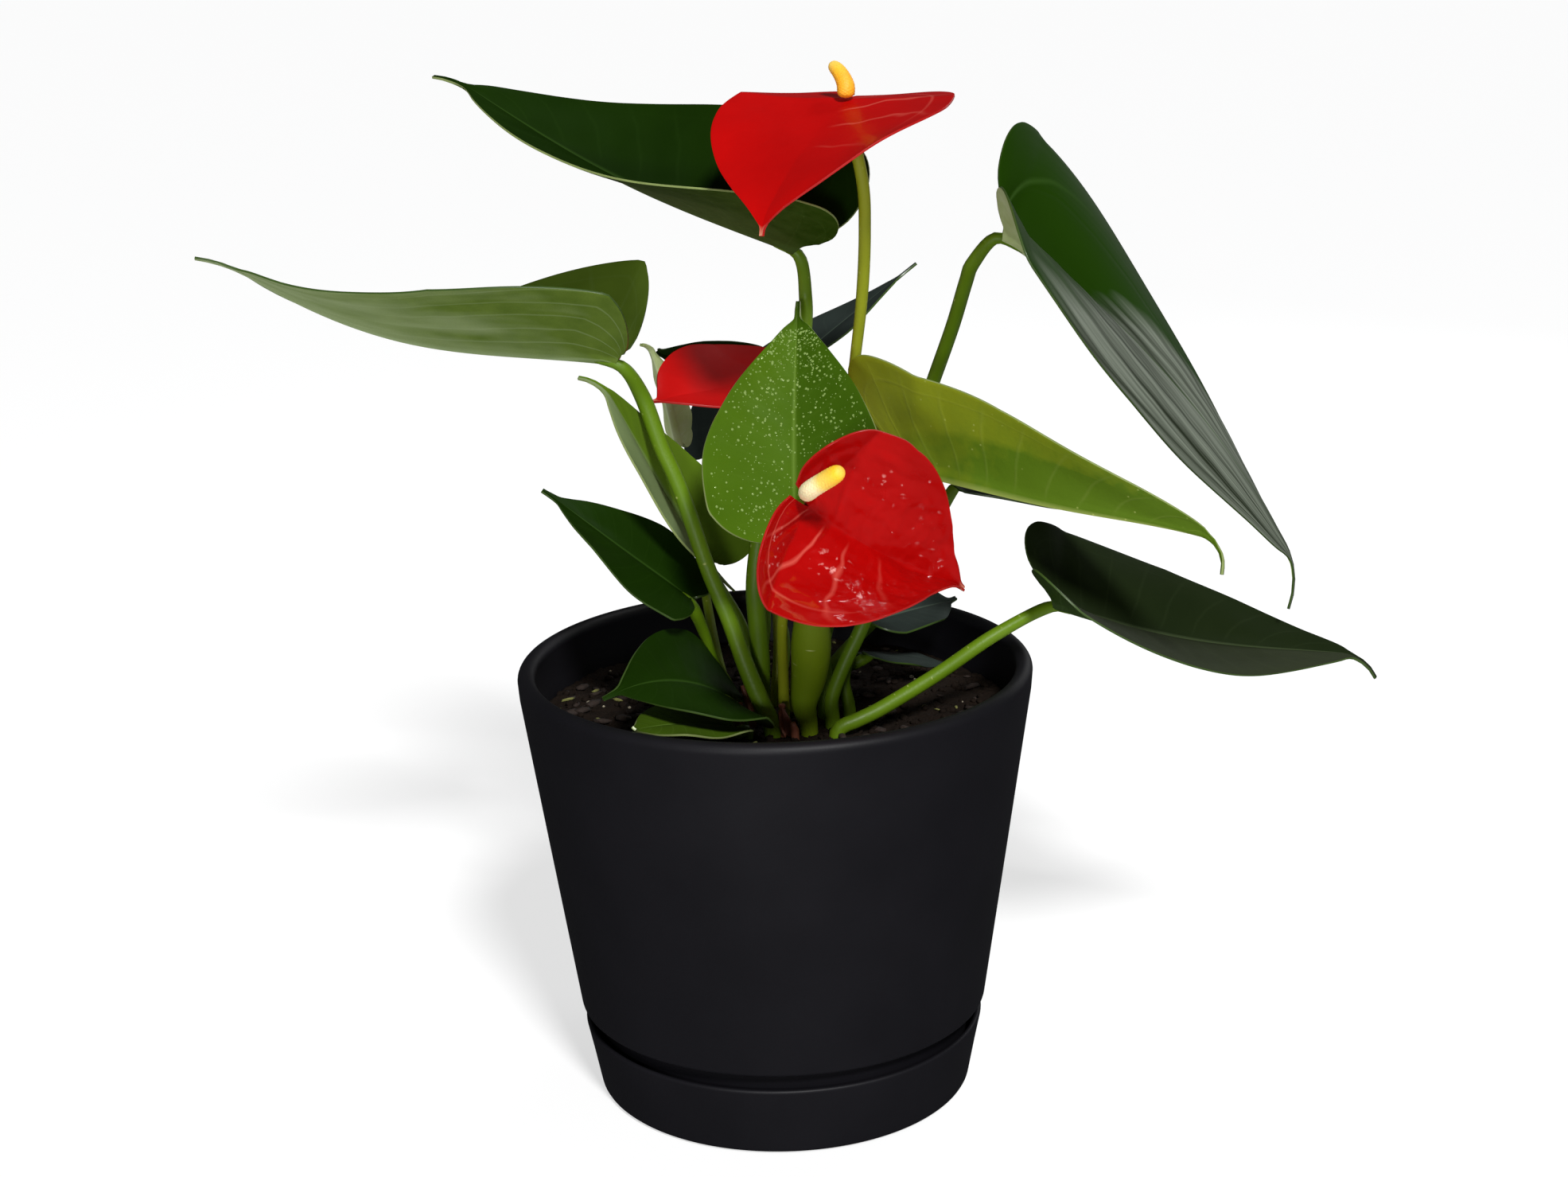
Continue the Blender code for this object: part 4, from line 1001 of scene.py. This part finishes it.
leaf("sliver", DARK, "dark_leaf",
     [(18.5, -3, 1.6), (17.5, -2, 108.5, 1.5), (21, 3, 117.5, 1.5), (28, 11, 126.5, 1.4),
     (39, 19, 136.5, 1.4), (44.5, 23, 146, 1.5)],
     at=(48.5, 17.5, 152.5), aim=(-0.5, -14.5, -11), size=(52, 9.5, 14), bend=(-5, -34, -29), sway=14,
     twist=8, fold=(23, 10), lean=3, curl=-19, lift=33, hook=(8, 5), left=(-0.02, -0.02, 0.02),
     right=(-0.06, 0.02, -0.04))
leaf("pot_back", GREY, "dark_leaf",
     [(12.5, 2.5, 1.4), (14.5, 6, 109, 1.3)],
     at=(26.5, 15, 118), aim=(37.5, 1.5, -31), size=(33, 12, 6.5), bend=(20, 22, 14), sway=-11, twist=-4,
     fold=(30, 24), lean=-2, curl=3, lift=18, hook=(-15, -3))
leaf("pot_thin", GREY, "dark_leaf",
     [(8.5, 9, 1.2), (14.5, 12, 104, 1.1)],
     at=(24.5, 13.5, 109.5), aim=(21.5, -10.5, 13), size=(28.5, 6, 3), bend=(0, 29, 11), sway=-16,
     twist=-41, fold=(9, -12), lean=1, curl=-36, lift=-5, hook=(-15, 13), left=(-0.02, 0.06, 0.02),
     right=(0, 0.02, -0.02))
leaf("behind_bloom", DARK, "dark_leaf",
     [(-6, 9, 1.5), (-2.5, 17, 113.5, 1.4), (-2, 24, 124.5, 1.4), (-1.5, 33, 143.5, 1.4),
     (-1, 38, 159.5, 1.4)],
     at=(-3, 52, 175), aim=(153, 7.5, 59), size=(34, 8.5, 6.5), bend=(-5, 14, 46), sway=4, twist=2,
     fold=(21, 33), lean=3, curl=19, lift=-3, hook=(49, 27), left=(-0.12, 0.06, -0.04),
     right=(-0.02, 0, 0.02))
bloom("top", TOP_FACE, TOP_SPIKE, calm_relief, (2.35, 1.45),
      [(5, -3.5, 1.5), (6, -2, 119.5, 1.4), (8, 2, 135, 1.35), (14.5, 9, 155.5, 1.3),
      (20, 12.5, 175, 1.3), (22.5, 11, 191.5, 1.4), (24, 7, 206.5, 1.5), (24.5, 2, 221, 1.5),
      (24, -2, 233, 1.5)],
      [(20.1, -6.1, 253.45), (20.2, -5.6, 256.4), (18.9, -3.5, 259.2), (17, -0.5, 261)],
      at=(20, -4, 253), aim=(-113, -20, -9), size=(51.5, 29.5, 12), bend=(0, 26, 32), sway=15, twist=-18,
      fold=(-1, 6), lean=9, curl=8, lift=-21, hook=(23, 5), left=(-0.02, -0.02, 0.02),
      right=(-0.1, -0.02, 0.06))
bloom("centre", SPATHE_FACE, YOUNG_SPIKE, spathe_relief, (2.2, 2.1),
      [(2, -10, 1.4), (2, -13, 112.5, 1.35), (2, -22, 128, 1.3), (3, -32, 141, 1.3),
      (5, -43, 153.5, 1.3)],
      [(7.8, -54.3, 169.4), (9.2, -58.3, 171.8), (12.3, -61.5, 174.5), (16.1, -65.2, 177.7)],
      at=(8.5, -49.2, 165.5), aim=(25.5, -42.5, -89.5), size=(46, 28.5, 11), bend=(-16, -22, 6), sway=-19,
      twist=30, fold=(10, 54), lean=4, curl=26, lift=27, hook=(23, 4), left=(-0.18, -0.08, 0.18),
      right=(0.06, 0.04, -0.06))
bloom("back", SHADED_FACE, YOUNG_SPIKE, calm_relief, (2.2, 1.8),
      [(0, 5, 1.4), (1, 7, 114.5, 1.3), (0.5, 14, 129.5, 1.2), (-0.5, 23, 146, 1.2),
      (0, 29, 161.5, 1.2)],
      [(-0.8, 27.4, 180.1), (0.2, 25.6, 183.7), (3, 22.5, 186.5), (6, 20, 187.5)],
      at=(0, 28, 179), aim=(-134.5, 2.5, 15), size=(41, 21.5, 15.5), bend=(5, -4, 10), sway=-2, twist=-2,
      fold=(3, 6), lean=-1, curl=2, lift=6, hook=(-4, 5), left=(-0.04, 0.06, 0.08), right=(0, 0.02, 0.04))

# Small parts: dry sheaths and papery scales at the crown, dew on the young leaf

stalk("left_sheath", [(-6, -10.5, 0.9), (-6.9, -10.4, 105, 0.9), (-8.3, -10.3, 109.6, 0.5)],
      SHEATH, "sheath_left")
stalk("front_sheath", [(4.5, -20.5, 1.0), (4.2, -20.8, 102.0, 0.9), (4.0, -21.0, 103.2, 0.6)],
      SHEATH, "sheath_front")


def scale(name, at, heading, length):
    """A papery scale that stands up beside a stalk."""
    d = shape(at=at, aim=(heading, 74, 0), size=(length, 0.26 * length, 0.6), bend=(5, -20, -25),
              sway=0, twist=20, fold=(45, 25), lean=0, curl=20, lift=0, hook=(-20, 0), wave=0.2)
    blade(name, d, [SHEATH] * 3, None, leaf_relief, SCALE_GRID)


scale("scale_left", (-14.2, -9.5, 99.0), 110, 11)
scale("scale_front", (-9.4, -19.0, 98.8), 60, 9)
scale("scale_middle", (2.2, -17.5, 98.8), 120, 8)
drops("dew", young_leaf, 1100, 21, (0.1, 0.42), (-0.93, 0.93, 0.04, 0.88), DEW)

# Camera and studio

def set_camera():
    """The photograph's view: its place, its turns and its lens."""
    data = bpy.data.cameras.new("camera")
    data.sensor_fit = "HORIZONTAL"
    data.sensor_width = 36
    data.lens = 36 * FOCAL_LENGTH / PHOTO_WIDTH
    camera = bpy.data.objects.new("camera", data)
    bpy.context.scene.collection.objects.link(camera)
    tilt, pan, roll = radians(CAMERA_TILT), radians(CAMERA_PAN), radians(CAMERA_ROLL)
    ahead = Vector((sin(pan) * cos(tilt), cos(pan) * cos(tilt), -sin(tilt)))
    right = ahead.cross(Vector((0, 0, 1))).normalized()
    up = right.cross(ahead)
    level, upright = cos(roll) * right + sin(roll) * up, cos(roll) * up - sin(roll) * right
    turn = Matrix((level, upright, -ahead)).transposed().to_4x4()
    camera.matrix_world = Matrix.Translation(CAMERA_PLACE) @ turn
    bpy.context.scene.camera = camera


def lamp(name, kind, place, strength, settings):
    """A lamp that faces the middle of the plant."""
    data = bpy.data.lights.new(name, kind)
    data.energy = strength
    for key, value in settings.items():
        setattr(data, key, value)
    made = bpy.data.objects.new(name, data)
    bpy.context.scene.collection.objects.link(made)
    made.location = place
    toward = Vector(LAMPS_AIM) - Vector(place)
    made.rotation_euler = toward.to_track_quat("-Z", "Y").to_euler()
    made.visible_camera = False


def set_stage():
    """A pale floor in a white room. The room lights the plant much less than it shows, as a wide dim
    studio does behind a bright backdrop, so that dark leaves and black plastic stay dark."""
    bm = bmesh.new()
    bmesh.ops.create_grid(bm, x_segments=1, y_segments=1, size=FLOOR_SIZE)
    mesh = bpy.data.meshes.new("floor")
    bm.to_mesh(mesh)
    bm.free()
    floor = bpy.data.objects.new("floor", mesh)
    bpy.context.scene.collection.objects.link(floor)
    floor.location = (0, 0, -FLOOR_DROP)
    floor.visible_glossy = False
    paint = Look("floor_paint", 0.9, Emission_Strength=FLOOR_GLOW)
    paint.set("Base Color", FLOOR_COLOUR)
    paint.set("Emission Color", (1, 1, 1))
    mesh.materials.append(paint.material)
    world = bpy.data.worlds.new("studio")
    world.use_nodes = True
    nodes, links = world.node_tree.nodes, world.node_tree.links
    rays = nodes.new("ShaderNodeLightPath")

    def glow(colour, strength):
        made = nodes.new("ShaderNodeBackground")
        made.inputs["Color"].default_value = colour
        made.inputs["Strength"].default_value = strength
        return made.outputs[0]

    def choose(kind_of_ray, others, these):
        made = nodes.new("ShaderNodeMixShader")
        links.new(rays.outputs[kind_of_ray], made.inputs[0])
        links.new(others, made.inputs[1])
        links.new(these, made.inputs[2])
        return made.outputs[0]

    room = choose("Is Glossy Ray", glow(ROOM_COLOUR, ROOM_LIGHT), glow(ROOM_COLOUR, ROOM_IN_GLOSS))
    room = choose("Is Camera Ray", room, glow(BACKDROP_COLOUR, BACKDROP_LIGHT))
    links.new(room, nodes["World Output"].inputs["Surface"])
    bpy.context.scene.world = world
    for row in LAMPS:
        lamp(*row)


set_camera()
set_stage()
bpy.context.scene.view_settings.view_transform = "Standard"
